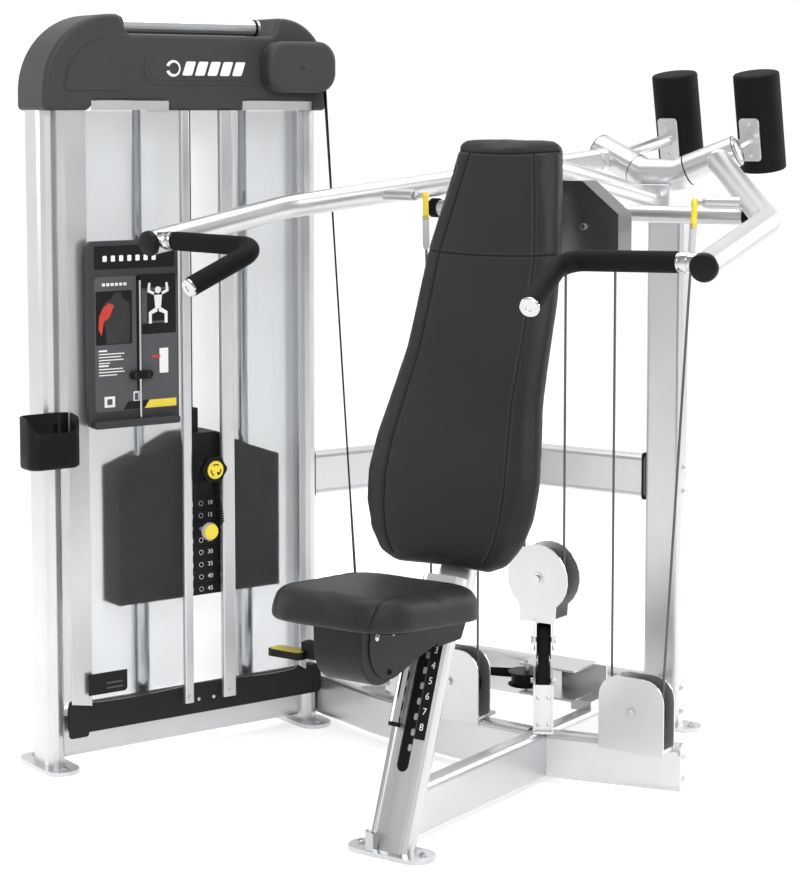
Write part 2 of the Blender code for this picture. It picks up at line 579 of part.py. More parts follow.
def seat():
    """Cushion, sliding carriage under it, height lever and the gas spring beside the post."""
    along = Vector((0, math.cos(SEAT_TILT), -math.sin(SEAT_TILT)))
    upward = Vector((0, math.sin(SEAT_TILT), math.cos(SEAT_TILT)))
    pad = rounded(SEAT_WIDE, SEAT_LONG, 0.10, 5)
    middle = Vector((0, SEAT_FRONT, SEAT_LOW)) + along * SEAT_LONG / 2 + upward * SEAT_THICK / 2
    cushion = prism("seat_pad", pad, middle, (1, 0, 0), along, SEAT_THICK, VINYL)
    bevel = cushion.modifiers.new("soft_edge", "BEVEL")
    bevel.width = 0.022
    bevel.segments = 2

    def post_front(z):
        return POST_FOOT_Y + z * math.tan(POST_LEAN) - TUBE_THIN / 2 / math.cos(POST_LEAN)

    def under(y):
        return y, SEAT_LOW - 0.0005 - (y - SEAT_FRONT) * math.tan(SEAT_TILT)

    outline = [under(-1.430), (-1.430, 0.470), (-1.405, 0.425), (-1.350, 0.400), (-1.300, 0.402),
               (post_front(0.460) - 0.002, 0.460), under(post_front(0.503) - 0.002)]
    carriage = prism("seat_carriage", outline, (0, 0, 0), (0, 1, 0), UP, 0.124, CHARCOAL,
                     origin=(0, SEAT_FRONT + SEAT_LONG / 2, SEAT_LOW))
    for side in (-1, 1):
        cheek = [under(-1.15), (-1.15, 0.440), (-1.055, 0.440), under(-1.020)]
        weld(carriage, prism(f"carriage_cheek_{side}", cheek, (side * 0.0565, 0, 0), (0, 1, 0), UP,
                             0.010, CHARCOAL))

    pivot = Vector((-0.0670, -1.400, 0.472))
    lever = block("seat_lever", (-0.104, -1.412, 0.447), (-0.0670, -1.388, 0.482), BLACK, origin=pivot)
    paddle = rounded(0.090, 0.044, 0.012)
    weld(lever, prism("lever_paddle", paddle, (-0.138, -1.408, 0.453), (1, 0, 0), (0, 1, 0), 0.014, BLACK))

    offset = Vector((-0.030, 0, 0)) - POST_BACK * (TUBE_THIN / 2 + 0.017)
    base = Vector((0, POST_FOOT_Y, 0)) + offset
    start = base + POST_AXIS * 0.265
    gas_profile = [(0, 0.189), (0.0055, 0.189), (0.0055, 0), (0.0125, 0), (0.0125, 0.193), (0, 0.193)]
    turned("gas_cylinder", gas_profile, start, POST_AXIS, CHROME, 16)
    foot_z = FOOT_THICK + GAP
    low = base + POST_AXIS * 0.030
    bar = rod("gas_rod", low, base + POST_AXIS * 0.310, 0.0040, CHROME, 12)
    clevis = (low.x - 0.010, low.y - 0.012, foot_z), (low.x + 0.010, low.y + 0.004, 0.050)
    weld(bar, block("gas_clevis", *clevis, STEEL))


# ---------------------------------------------------------------- press arms

def press_arm(label, side):
    """Hub, bent tube, cable stub, handle collar and counterweight arm in one weldment."""
    hub_axis = mirrored(HUB_AXIS, side)
    start = mirrored(SEAM, side) + hub_axis * RUN
    arm = rod(f"{label}_arm", start, start + hub_axis * HUB_LONG, HUB_RADIUS, SILVER, 20,
              origin=mirrored(SEAM, side))
    path = [mirrored(p, side) for p in filleted([ARM_ROOT, ARM_BEND, ARM_END], 0.17, 6)]
    weld(arm, sweep(f"{label}_arm_tube", path, circle(ARM_RADIUS, 16), SILVER))

    weight_axis = (WEIGHT_LOW - WEIGHT_TOP).normalized()
    forward = weight_axis.cross(Vector((1, 0, 0))).normalized()
    plate = WEIGHT_TOP + weight_axis * 0.163 + forward * (WEIGHT_RADIUS + GAP + 0.003)
    weld(arm, prism(f"{label}_weight_plate", rounded(0.055, 0.112, 0.008, 2), mirrored(plate, side),
                    (1, 0, 0), weight_axis, 0.006, SILVER))
    ends = mirrored(ARM_ROOT, side), mirrored(plate, side)
    weld(arm, rod(f"{label}_weight_arm", *ends, 0.0155, SILVER, 12))

    def on_stub(x):
        return mirrored((x, EYE.y, EYE.z), side)

    weld(arm, rod(f"{label}_stub", on_stub(0.505), on_stub(0.395), 0.0145, SILVER, 12))
    weld(arm, rod(f"{label}_stub_pin", on_stub(0.400), on_stub(EYE.x + 0.012), 0.0070, STEEL, 12))
    inwards = (GRIP_BEND - GRIP_START).normalized()
    weld(arm, rod(f"{label}_collar", mirrored(GRIP_START - inwards * 0.060, side),
                  mirrored(GRIP_START - inwards * GAP, side), 0.0190, CHROME, 16))

    grip = [mirrored(p, side) for p in filleted([GRIP_START, GRIP_BEND, GRIP_END], 0.045, 5)]
    sweep(f"{label}_grip", grip, circle(GRIP_RADIUS, 14), RUBBER)
    ends = mirrored(WEIGHT_TOP, side), mirrored(WEIGHT_LOW, side)
    rod(f"{label}_counterweight", *ends, WEIGHT_RADIUS, BLACK, 24)


def cable_end(label, side):
    """Eye and sleeve that hang the press cable from the arm's stub."""
    eye = mirrored(EYE, side)
    low = mirrored((FLOOR_X + PULLEY_RADIUS, CABLE_Y, FLOOR_Z), side)
    profile = [(0, -0.010), (0.0070, -0.008), (0.0095, 0), (0.0070, 0.012), (0.0070, 0.060),
               (0.0050, 0.066), (0.0050, 0.125), (0, 0.125)]
    turned(f"{label}_cable_end", profile, eye, low - eye, YELLOW, 12)


# ---------------------------------------------------------------- cable and belt drive

def cable_pulley(name, x, z, radius):
    """Grooved pulley of the press cable, turning about Y."""
    groove = radius - 0.0055
    rim = radius + 0.005
    profile = [(0.0065, -0.0105), (rim, -0.0105), (rim, -0.0080), (groove, -0.0042),
               (groove, 0.0042), (rim, 0.0080), (rim, 0.0105), (0.0065, 0.0105)]
    turned(name, profile, (x, CABLE_Y, z), (0, 1, 0), BLACK, 24)


def belt_pulley(name, middle, axis):
    """Flanged flat pulley of the lift belt."""
    drum = BELT_RADIUS - BELT_THICK / 2 - RUN
    rim = BELT_RADIUS + 0.006
    profile = [(0.0065, -0.0170), (rim, -0.0170), (rim, -0.0145), (drum, -0.0145),
               (drum, 0.0145), (rim, 0.0145), (rim, 0.0170), (0.0065, 0.0170)]
    turned(name, profile, middle, axis, BLACK)


def belt_heading():
    """Direction of the belt's floor run, from the corner pulley to the far side of the channel pulley."""
    heading = Vector((1, 0, 0))
    for _ in range(12):
        entry = CHANNEL + Vector((-heading.y, heading.x, 0)) * BELT_RADIUS
        flat = entry - CORNER
        heading = Vector((flat.x, flat.y, 0)).normalized()
    return heading


def yoke_heading():
    """Direction of the belt from the channel pulley to the floating block, as it leaves tangentially."""
    heading = Vector((0.5, -0.86, 0))
    for _ in range(12):
        leave = CHANNEL + Vector((-heading.y, heading.x, 0)) * BELT_RADIUS
        flat = Vector((0, CABLE_Y, BELT_Z)) - leave
        heading = Vector((flat.x, flat.y, 0)).normalized()
    return heading


def ear_heading():
    """Direction of the belt inside the top cover, from the stack's middle to the ear pulley."""
    flat = tower(EAR_W, EAR_D, 0) - tower(SLOT_MID, 0, 0)
    return flat.normalized()


def float_block():
    """Hanging block: two round plates about the cable pulley and a turned yoke about the belt wheel."""
    plate = [(-0.047, 0.390), (0.047, 0.390), (0.049, 0.420)] + arc(0, FLOAT_Z, 0.081, -52, 232, 18)
    plate.append((-0.049, 0.420))
    low, high = (-0.047, CABLE_Y - 0.028, 0.390), (0.047, CABLE_Y + 0.028, 0.402)
    body = block("float_block", low, high, SILVER, origin=(0, CABLE_Y, 0.390))
    for label, side in (("front", -1), ("back", 1)):
        at = (0, CABLE_Y + side * 0.0290, 0)
        weld(body, prism(f"float_plate_{label}", plate, at, (1, 0, 0), UP, 0.004, SILVER))
    axle = (0, CABLE_Y - 0.034, FLOAT_Z), (0, CABLE_Y + 0.034, FLOAT_Z)
    weld(body, rod("float_axle", *axle, 0.006, STEEL, 12))
    run = yoke_heading()
    across = run.cross(UP)
    for label, side in (("left", -1), ("right", 1)):
        at = Vector((0, CABLE_Y, 0)) + across * side * 0.0215
        cheek = [(0.026, 0.396), (-0.026, 0.396)] + arc(0, FLOAT_WHEEL_Z, 0.026, 180, 360, 8)
        weld(body, prism(f"yoke_cheek_{label}", cheek, at, run, UP, 0.005, SILVER))
    wheel = Vector((0, CABLE_Y, FLOAT_WHEEL_Z))
    weld(body, rod("yoke_axle", wheel - across * 0.030, wheel + across * 0.030, 0.006, STEEL, 12))


def bracket_pulley_middle():
    return Vector((0, CABLE_Y, BELT_Z + BELT_RADIUS)) - yoke_heading() * 2 * BELT_RADIUS


def belt_bracket():
    """Forked stand over the beams' junction: it clamps the belt's end and carries the bracket pulley."""
    beam_top = BEAM_MID + BEAM_HIGH / 2 + GAP
    run = yoke_heading()
    across = run.cross(UP)
    hub = Vector((0, CABLE_Y, 0))
    base = prism("belt_bracket", [(-0.115, -0.024), (0.055, -0.024), (0.055, 0.024), (-0.115, 0.024)],
                 hub + UP * (beam_top + 0.003), run, across, 0.006, SILVER)
    for label, side in (("left", -1), ("right", 1)):
        at = hub + across * side * 0.0215
        cheek = [(-0.112, beam_top), (0.052, beam_top), (0.052, 0.245), (0.030, 0.245),
                 (-0.040, 0.236), (-0.060, 0.262), (-0.100, 0.262), (-0.112, 0.245)]
        weld(base, prism(f"bracket_cheek_{label}", cheek, at, run, UP, 0.005, SILVER))
    face = hub + run * (BELT_RADIUS + BELT_THICK / 2 + 0.0030)
    weld(base, prism("clamp_plate", [(-0.022, 0.136), (0.022, 0.136), (0.022, 0.245), (-0.022, 0.245)],
                     face, across, UP, 0.004, SILVER))
    hub = bracket_pulley_middle()
    weld(base, rod("bracket_axle", hub - across * 0.030, hub + across * 0.030, 0.006, STEEL, 12))


def upper_housing():
    """Roof over the two upper cable pulleys, open below, on the spar behind the back pad."""
    half = [(0.208, 1.235), (0.208, 1.350), (0.114, 1.4235)]
    outline = half + [(-x, z) for x, z in reversed(half)]
    half = [(0.204, 1.200), (0.204, 1.348), (0.112, 1.419)]
    inner = half + [(-x, z) for x, z in reversed(half)]
    housing = prism("upper_pulley_housing", outline, (0, CABLE_Y, 0), (1, 0, 0), UP, 0.062, STEEL)
    cut(housing, prism("housing_hollow", inner, (0, CABLE_Y, 0), (1, 0, 0), UP, 0.054, STEEL))
    for side in (-1, 1):
        weld(housing, rod(f"upper_axle_{side}", (side * UPPER_X, CABLE_Y - 0.034, UPPER_Z),
                          (side * UPPER_X, CABLE_Y + 0.034, UPPER_Z), 0.006, STEEL, 12))


def press_cable():
    """One cable: right arm, floor pulley, upper pulley, under the float, and the same way to the left."""
    def in_plane(points):
        return [Vector((x, CABLE_Y, z)) for x, z in points]

    eye = EYE
    outer = Vector((FLOOR_X + PULLEY_RADIUS, CABLE_Y, FLOOR_Z))
    start = eye + (outer - eye).normalized() * (0.125 + GAP)
    half = [start]
    half += in_plane(arc(FLOOR_X, FLOOR_Z, PULLEY_RADIUS, 0, -180, 10))
    half += in_plane(arc(UPPER_X, UPPER_Z, PULLEY_RADIUS, 0, 180, 10))
    half += in_plane(arc(0, FLOAT_Z, FLOAT_RADIUS, 0, -90, 5))
    other = [mirrored(p, -1) for p in reversed(half[:-1])]
    sweep("press_cable", half + other, circle(CABLE_RADIUS, 8), CABLE, up=Vector((0, 1, 0.2)))


def belt_arc(middle, start, end, steps):
    """Stations on a belt pulley, from one radius direction to another."""
    start, end = Vector(start), Vector(end)
    return [Vector(middle) + start.slerp(end, i / steps) * BELT_RADIUS for i in range(steps + 1)]


def evened(stations, pace):
    """Stations no further apart than pace, turning evenly where the belt twists."""
    full = []
    for (a, flat_a), (b, flat_b) in zip(stations, stations[1:]):
        count = max(1, math.ceil((b - a).length / pace))
        full += [(a.lerp(b, i / count), flat_a.slerp(flat_b, i / count, flat_a)) for i in range(count)]
    return full + [stations[-1]]


def lift_belt():
    """Flat belt from the head plate over the tower and along the floor to the floating block's wheel."""
    ear, floor, yoke = ear_heading(), belt_heading(), yoke_heading()
    stations = []

    def add(points, flat):
        stations.extend((Vector(p), Vector(flat).normalized()) for p in points)

    across = ear.cross(UP)
    top = tower(SLOT_MID, 0, TOP_PULLEY_Z) + ear * BELT_RADIUS
    ear_middle = tower(EAR_W, EAR_D, TOP_PULLEY_Z)
    add([tower(SLOT_MID, 0, STEM_TOP + GAP)], across)
    add(belt_arc(top, -ear, UP, 5), across)
    add(belt_arc(ear_middle, UP, ear, 5), across)
    across = floor.cross(UP)
    add(belt_arc(CORNER, -floor, -UP, 5), across)
    add(belt_arc(CHANNEL, Vector((-floor.y, floor.x, 0)), Vector((-yoke.y, yoke.x, 0)), 5), -UP)
    across = yoke.cross(UP)
    low = bracket_pulley_middle()
    add([low - UP * BELT_RADIUS - yoke * 0.03], across)
    add(belt_arc(low, -UP, yoke, 5), across)
    wheel = Vector((0, CABLE_Y, FLOAT_WHEEL_Z))
    add(belt_arc(wheel, -yoke, UP, 5), across)
    add(belt_arc(wheel, UP, yoke, 5)[1:], across)
    add([Vector((0, CABLE_Y, 0.142)) + yoke * BELT_RADIUS], across)

    stations = evened(stations, 0.030)
    rings = []
    for i, (point, flat) in enumerate(stations):
        before, after = stations[max(i - 1, 0)][0], stations[min(i + 1, len(stations) - 1)][0]
        run = (after - before).normalized()
        flat = (flat - run * flat.dot(run)).normalized()
        out = run.cross(flat).normalized()
        half_wide, half_thick = flat * BELT_WIDE / 2, out * BELT_THICK / 2
        rings.append([point - half_wide - half_thick, point + half_wide - half_thick,
                      point + half_wide + half_thick, point - half_wide + half_thick])
    verts, faces = stacked(rings)
    split = [(f[0], f[1], f[2]) for f in faces] + [(f[0], f[2], f[3]) for f in faces]
    solid("lift_belt", verts, split, RUBBER)


def drive():
    for label, side in (("left", -1), ("right", 1)):
        cable_pulley(f"floor_pulley_{label}", side * FLOOR_X, FLOOR_Z, PULLEY_RADIUS)
        cable_pulley(f"upper_pulley_{label}", side * UPPER_X, UPPER_Z, PULLEY_RADIUS)
        cable_end(label, side)
    cable_pulley("float_pulley", 0, FLOAT_Z, FLOAT_RADIUS)
    upper_housing()
    float_block()
    belt_bracket()
    ear = ear_heading()
    belt_pulley("top_pulley", tower(SLOT_MID, 0, TOP_PULLEY_Z) + ear * BELT_RADIUS, ear.cross(UP))
    belt_pulley("ear_pulley", tower(EAR_W, EAR_D, TOP_PULLEY_Z), ear.cross(UP))
    belt_pulley("corner_pulley", CORNER, belt_heading().cross(UP))
    belt_pulley("channel_pulley", CHANNEL, UP)
    belt_pulley("bracket_pulley", bracket_pulley_middle(), yoke_heading().cross(UP))
    belt_pulley("float_wheel", (0, CABLE_Y, FLOAT_WHEEL_Z), yoke_heading().cross(UP))
    press_cable()
    lift_belt()


tower_frame()
top_cover()
tower_skin()
tower_trim()
weight_stack()
floor_frame()
rear_pivot_frame()
seat_post()
back_pad()
seat()
for arm_label, arm_side in (("left", -1), ("right", 1)):
    press_arm(arm_label, arm_side)
drive()
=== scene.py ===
"""Looks of the overhead press: camera and lights, then each piece of detail on the body it moves with."""
import json
import math

import bmesh
import bpy
from mathutils import Matrix, Vector
from mathutils.bvhtree import BVHTree
from mathutils.kdtree import KDTree


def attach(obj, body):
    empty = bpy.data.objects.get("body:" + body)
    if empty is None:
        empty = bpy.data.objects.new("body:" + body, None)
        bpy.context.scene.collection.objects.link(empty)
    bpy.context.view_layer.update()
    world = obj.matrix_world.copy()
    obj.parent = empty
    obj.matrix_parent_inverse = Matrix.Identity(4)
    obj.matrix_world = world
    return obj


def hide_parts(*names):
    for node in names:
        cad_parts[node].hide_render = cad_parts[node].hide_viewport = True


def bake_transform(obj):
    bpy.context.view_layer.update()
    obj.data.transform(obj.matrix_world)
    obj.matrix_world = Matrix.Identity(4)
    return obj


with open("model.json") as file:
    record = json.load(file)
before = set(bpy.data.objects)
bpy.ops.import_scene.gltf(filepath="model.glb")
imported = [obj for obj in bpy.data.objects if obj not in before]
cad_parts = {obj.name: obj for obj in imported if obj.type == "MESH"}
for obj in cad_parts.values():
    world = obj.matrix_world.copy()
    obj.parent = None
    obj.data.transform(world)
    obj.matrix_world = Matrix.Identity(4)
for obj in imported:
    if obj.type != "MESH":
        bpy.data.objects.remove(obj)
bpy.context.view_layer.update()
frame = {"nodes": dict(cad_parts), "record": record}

UP = Vector((0, 0, 1))
X = Vector((1, 0, 0))
Y = Vector((0, 1, 0))

# ------------------------------------------------------------------ camera

PITCH, TURN = 5.1, 34.51
camera = bpy.data.objects.new("camera", bpy.data.cameras.new("camera"))
bpy.context.collection.objects.link(camera)
camera.data.lens = 91.05
camera.data.sensor_width = 36
camera.data.shift_x = -0.003
camera.data.shift_y = -0.1489
camera.location = (2.681, -5.09, 1.58)
camera.rotation_euler = (math.radians(90 - PITCH), 0, math.radians(TURN))
bpy.context.scene.camera = camera

# ------------------------------------------------------------------ the machine's own directions

TOWER_ANGLE = math.radians(20)
TOWER_CORNER = Vector((-0.805, -0.489, 0))
ALONG_W = Vector((-math.sin(TOWER_ANGLE), -math.cos(TOWER_ANGLE), 0))
ALONG_D = Vector((math.cos(TOWER_ANGLE), -math.sin(TOWER_ANGLE), 0))
TOWER_WIDE, SLOT = 0.725, 0.3215
LEAN = math.radians(20.3)
POST_AXIS = Vector((0, math.sin(LEAN), math.cos(LEAN)))
POST_BACK = Vector((0, math.cos(LEAN), -math.sin(LEAN)))
POST_FOOT_Y = -1.232

SEAM = Vector((0.072, -0.036, 1.434))
HUB_AXIS = Vector((0.908, 0.187, 0.372)).normalized()
ARM_ROOT = Vector((0.145, -0.021, 1.463))
ARM_BEND = Vector((0.640, -0.770, 1.350))
ARM_END = Vector((0.703, -1.186, 1.281))
GRIP_START = Vector((0.640, -1.174, 1.288))
GRIP_BEND = Vector((0.383, -1.186, 1.283))
GRIP_END = Vector((0.426, -1.376, 1.205))
WEIGHT_TOP = Vector((0.118, 0.248, 1.680))
WEIGHT_LOW = Vector((0.118, 0.300, 1.430))
EYE = Vector((0.363, -0.565, 1.378))
CABLE_Y = -0.605
FLOOR_X, FLOOR_Z, UPPER_X, UPPER_Z = 0.249, 0.212, 0.119, 1.320
PULLEY, FLOAT_PULLEY, FLOAT_Z, FLOAT_WHEEL_Z = 0.065, 0.054, 0.493, 0.3425
BELT_RADIUS, BELT_WIDE, BELT_THICK, BELT_Z = 0.040, 0.026, 0.002, 0.184
CHANNEL = Vector((-0.171, -0.400, BELT_Z))
CORNER = Vector((-0.560, -0.500, BELT_Z + BELT_RADIUS))
TOP_PULLEY_Z = 1.690
BRACE_Z = 0.6475
HEIGHT_STEP = 0.0335
ARM_RADIUS = 0.0285
EAR_W, EAR_D = 0.030, 0.092


def tower(w, d, z):
    return TOWER_CORNER + ALONG_W * w + ALONG_D * d + UP * z


def sided(point, side):
    return Vector((point[0] * side, point[1], point[2]))


# ------------------------------------------------------------------ materials

def surface(name, colour, roughness, metallic=0.0, tone=0.12, grain=900, depth=0.00008, rough_swing=0.08,
            coat=0.0, patch=9.0, cells=0, lines=None, gloss=0.5):
    """Node-based finish: tone drifts over the surface, with a fine grain in its bump and its roughness."""
    made = bpy.data.materials.new(name)
    made.use_nodes = True
    nodes, links = made.node_tree.nodes, made.node_tree.links
    shader = nodes["Principled BSDF"]
    place = nodes.new("ShaderNodeTexCoord")
    drift = nodes.new("ShaderNodeTexNoise")
    drift.inputs["Scale"].default_value = patch
    drift.inputs["Detail"].default_value = 5
    links.new(place.outputs["Object"], drift.inputs["Vector"])
    ramp = nodes.new("ShaderNodeValToRGB")
    ramp.color_ramp.elements[0].position = 0.3
    ramp.color_ramp.elements[1].position = 0.7
    ramp.color_ramp.elements[0].color = (*[c * (1 - tone) for c in colour], 1)
    ramp.color_ramp.elements[1].color = (*[min(1, c * (1 + tone)) for c in colour], 1)
    links.new(drift.outputs["Fac"], ramp.inputs["Fac"])
    links.new(ramp.outputs["Color"], shader.inputs["Base Color"])
    fine = nodes.new("ShaderNodeTexNoise")
    fine.inputs["Scale"].default_value = grain
    fine.inputs["Detail"].default_value = 3
    links.new(place.outputs["Object"], fine.inputs["Vector"])
    height = fine.outputs["Fac"]
    if cells:
        cell = nodes.new("ShaderNodeTexVoronoi")
        cell.feature = "DISTANCE_TO_EDGE"
        cell.inputs["Scale"].default_value = cells
        links.new(place.outputs["Object"], cell.inputs["Vector"])
        crease = nodes.new("ShaderNodeMapRange")
        crease.inputs["From Max"].default_value = 0.12
        links.new(cell.outputs["Distance"], crease.inputs["Value"])
        height = crease.outputs["Result"]
    if lines:
        stretch = nodes.new("ShaderNodeMapping")
        stretch.inputs["Scale"].default_value = lines
        links.new(place.outputs["Object"], stretch.inputs["Vector"])
        links.new(stretch.outputs["Vector"], fine.inputs["Vector"])
    bump = nodes.new("ShaderNodeBump")
    bump.inputs["Strength"].default_value = 0.6
    bump.inputs["Distance"].default_value = depth
    links.new(height, bump.inputs["Height"])
    links.new(bump.outputs["Normal"], shader.inputs["Normal"])
    swing = nodes.new("ShaderNodeMapRange")
    swing.inputs["To Min"].default_value = max(0.02, roughness - rough_swing)
    swing.inputs["To Max"].default_value = roughness + rough_swing
    links.new(fine.outputs["Fac"], swing.inputs["Value"])
    links.new(swing.outputs["Result"], shader.inputs["Roughness"])
    shader.inputs["Metallic"].default_value = metallic
    shader.inputs["Specular IOR Level"].default_value = gloss
    shader.inputs["Coat Weight"].default_value = coat
    shader.inputs["Coat Roughness"].default_value = 0.15
    return made


def frosted(name, colour, clear, roughness):
    """Moulded film: clear lets light pass softly blurred, the rest of it is a pale skin."""
    made = surface(name, colour, roughness, tone=0.02, grain=400, depth=0.00001, rough_swing=0.02)
    shader = made.node_tree.nodes["Principled BSDF"]
    shader.inputs["Transmission Weight"].default_value = clear
    shader.inputs["IOR"].default_value = 1.10
    return made


SILVER = surface("silver_powder_coat", (0.59, 0.595, 0.605), 0.30, 0.86, tone=0.03, grain=1500, depth=0.00003)
CHROME = surface("chrome", (0.50, 0.51, 0.52), 0.10, 1.0, tone=0.03, rough_swing=0.03, depth=0.00001)
STEEL = surface("zinc_steel", (0.58, 0.59, 0.60), 0.28, 1.0, tone=0.06, lines=(30, 30, 1))
DARK_STEEL = surface("dark_steel", (0.20, 0.20, 0.205), 0.30, 0.9, tone=0.08)
CHARCOAL = surface("charcoal_plastic", (0.036, 0.037, 0.039), 0.46, tone=0.06, cells=1400, depth=0.00006,
                   gloss=0.22)
INK = surface("dark_plastic", (0.013, 0.013, 0.014), 0.45, tone=0.06, cells=1400, depth=0.00006, gloss=0.18)
BLACK = surface("black_plastic", (0.0050, 0.0050, 0.0055), 0.42, tone=0.10, cells=1200, depth=0.00006,
                gloss=0.14)
RUBBER = surface("black_rubber", (0.0052, 0.0052, 0.0056), 0.66, tone=0.12, cells=900, depth=0.00010,
                 gloss=0.10)
VINYL = surface("charcoal_vinyl", (0.0155, 0.0152, 0.0148), 0.44, tone=0.06, cells=520, depth=0.00016,
                patch=6, gloss=0.20)
PIPING = surface("seam_vinyl", (0.006, 0.006, 0.0058), 0.50, tone=0.10, cells=600, depth=0.0001, gloss=0.1)
THREAD = surface("grey_thread", (0.055, 0.050, 0.044), 0.65, tone=0.2, grain=2500, depth=0.0001, gloss=0.2)
SHIELD = frosted("frosted_shield", (0.83, 0.84, 0.85), 0.985, 0.30)
SHROUD = frosted("frosted_shroud", (0.95, 0.955, 0.96), 0.70, 0.35)
IRON = surface("black_iron", (0.010, 0.010, 0.011), 0.52, 0.0, tone=0.12, cells=700, depth=0.0001, gloss=0.18)
YELLOW = surface("yellow_plastic", (0.70, 0.56, 0.035), 0.40, tone=0.05, coat=0.1)
BRASSY = surface("yellow_zinc", (0.62, 0.50, 0.20), 0.34, 0.5, tone=0.12)
CABLE = surface("coated_cable", (0.085, 0.09, 0.095), 0.42, tone=0.15, lines=(3, 3, 1), grain=1200,
                depth=0.0002, gloss=0.3)
SLEEVE = surface("grey_sleeve", (0.42, 0.43, 0.44), 0.40, tone=0.08)
WHITE = surface("white_print", (0.72, 0.72, 0.71), 0.45, tone=0.04)
GREY_PRINT = surface("grey_print", (0.075, 0.077, 0.082), 0.50, tone=0.03, gloss=0.2)
TORSO_PRINT = surface("torso_print", (0.030, 0.030, 0.031), 0.45, tone=0.15, gloss=0.2)
RED_PRINT = surface("red_print", (0.45, 0.030, 0.020), 0.42, tone=0.10)
PANEL = surface("panel_film", (0.0050, 0.0050, 0.0055), 0.35, tone=0.08, gloss=0.25)
# Near-black for the printed marks on the knob, and painted shade inside the plate pin holes.
DARK = surface("print_and_shade_black", (0.0025, 0.0025, 0.0025), 0.7, tone=0.2, gloss=0.1)

BY_SLOT = {"silver_frame": SILVER, "chrome": CHROME, "steel": STEEL, "charcoal_plastic": CHARCOAL,
           "black_plastic": BLACK, "black_rubber": RUBBER, "vinyl": VINYL, "frosted_shield": SHIELD,
           "black_iron": IRON, "yellow_plastic": YELLOW, "coated_cable": CABLE}
SLOT_OF = {made.name: slot for slot, made in BY_SLOT.items()}
SLOT_OF.update({"seam_vinyl": "vinyl", "grey_thread": "vinyl", "frosted_shroud": "frosted_shield",
                "yellow_zinc": "yellow_plastic", "grey_sleeve": "coated_cable",
                "white_print": "charcoal_plastic", "grey_print": "charcoal_plastic",
                "red_print": "charcoal_plastic", "torso_print": "charcoal_plastic", "dark_steel": "steel",
                "dark_plastic": "charcoal_plastic", "panel_film": "black_plastic",
                "print_and_shade_black": "black_plastic"})
for entry in frame["record"]["subparts"]:
    node = frame["nodes"][entry["node"]]
    finish = BY_SLOT[entry["material_slot"]]
    finish = {"rear_shroud": SHROUD, "upper_pulley_housing": DARK_STEEL, "bottom_skirt": INK,
              "seat_carriage": INK}.get(entry["node"], finish)
    node.data.materials.clear()
    node.data.materials.append(finish)

# ------------------------------------------------------------------ mesh helpers


def add(name, verts, faces, material, body="frame", bevel=0.0, angle=35, segments=3):
    """Closed mesh piece in world coordinates, riding on a body."""
    shape = bmesh.new()
    made = [shape.verts.new(v) for v in verts]
    for face in faces:
        shape.faces.new([made[i] for i in face])
    bmesh.ops.recalc_face_normals(shape, faces=shape.faces)
    mesh = bpy.data.meshes.new(name)
    shape.to_mesh(mesh)
    shape.free()
    mesh.materials.append(material)
    piece = bpy.data.objects.new(name, mesh)
    bpy.context.collection.objects.link(piece)
    mesh.shade_smooth()
    if bevel:
        soften = piece.modifiers.new("soft_edges", "BEVEL")
        soften.width = bevel
        soften.segments = segments
        soften.limit_method = "ANGLE"
        soften.angle_limit = math.radians(angle)
        soften.harden_normals = True
    else:
        mesh.set_sharp_from_angle(angle=math.radians(angle))
    if body:
        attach(piece, body)
    return piece


def replace_node(node, *pieces):
    for piece in pieces:
        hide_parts(node)


def stacked(rings):
    count = len(rings[0])
    verts = [p for ring in rings for p in ring]
    faces = [tuple(range(count)), tuple(range(len(verts) - count, len(verts)))]
    for row in range(len(rings) - 1):
        for i in range(count):
            a, b = row * count + i, row * count + (i + 1) % count
            faces.append((a, b, b + count, a + count))
    return verts, faces


def circle(radius, steps=32):
    turn = 2 * math.pi / steps
    return [(radius * math.cos(i * turn), radius * math.sin(i * turn)) for i in range(steps)]


def arc(mid_a, mid_b, radius, start, end, steps):
    angles = [math.radians(start + (end - start) * i / steps) for i in range(steps + 1)]
    return [(mid_a + radius * math.cos(t), mid_b + radius * math.sin(t)) for t in angles]


def rounded(wide, high, radius, steps=6):
    a, b = wide / 2 - radius, high / 2 - radius
    points = []
    for mid_a, mid_b, start in ((a, b, 0), (-a, b, 90), (-a, -b, 180), (a, -b, 270)):
        points += arc(mid_a, mid_b, radius, start, start + 90, steps)
    return points


def filleted(points, radius, steps=12):
    points = [Vector(p) for p in points]
    path = [points[0]]
    for before, corner, after in zip(points, points[1:], points[2:]):
        a, b = (before - corner).normalized(), (after - corner).normalized()
        half = a.angle(b) / 2
        middle = corner + (a + b).normalized() * radius / math.sin(half)
        start = corner + a * radius / math.tan(half)
        end = corner + b * radius / math.tan(half)
        for i in range(steps + 1):
            path.append(middle + (start - middle).slerp(end - middle, i / steps).normalized() * radius)
    path.append(points[-1])
    return path


def sweep(name, points, profile, material, body="frame", up=UP, scales=None, **more):
    """Profile (side, up) carried along a path; scales widens or narrows it at each point."""
    points = [Vector(p) for p in points]
    runs = [(b - a).normalized() for a, b in zip(points, points[1:])]
    side = runs[0].cross(up).normalized()
    top = side.cross(runs[0])
    offsets = [side * a + top * b for a, b in profile]
    rings = []
    for i, point in enumerate(points):
        run = runs[max(i - 1, 0)]
        after = runs[min(i, len(runs) - 1)]
        normal = (run + after).normalized()
        offsets = [o - run * (o.dot(normal) / run.dot(normal)) for o in offsets]
        size = scales[i] if scales else 1
        rings.append([point + o * size for o in offsets])
    return add(name, *stacked(rings), material, body, **more)


def tube(name, start, end, radius, material, body="frame", steps=32, **more):
    start, end = Vector(start), Vector(end)
    return sweep(name, [start, end], circle(radius, steps), material, body,
                 up=(end - start).orthogonal(), **more)


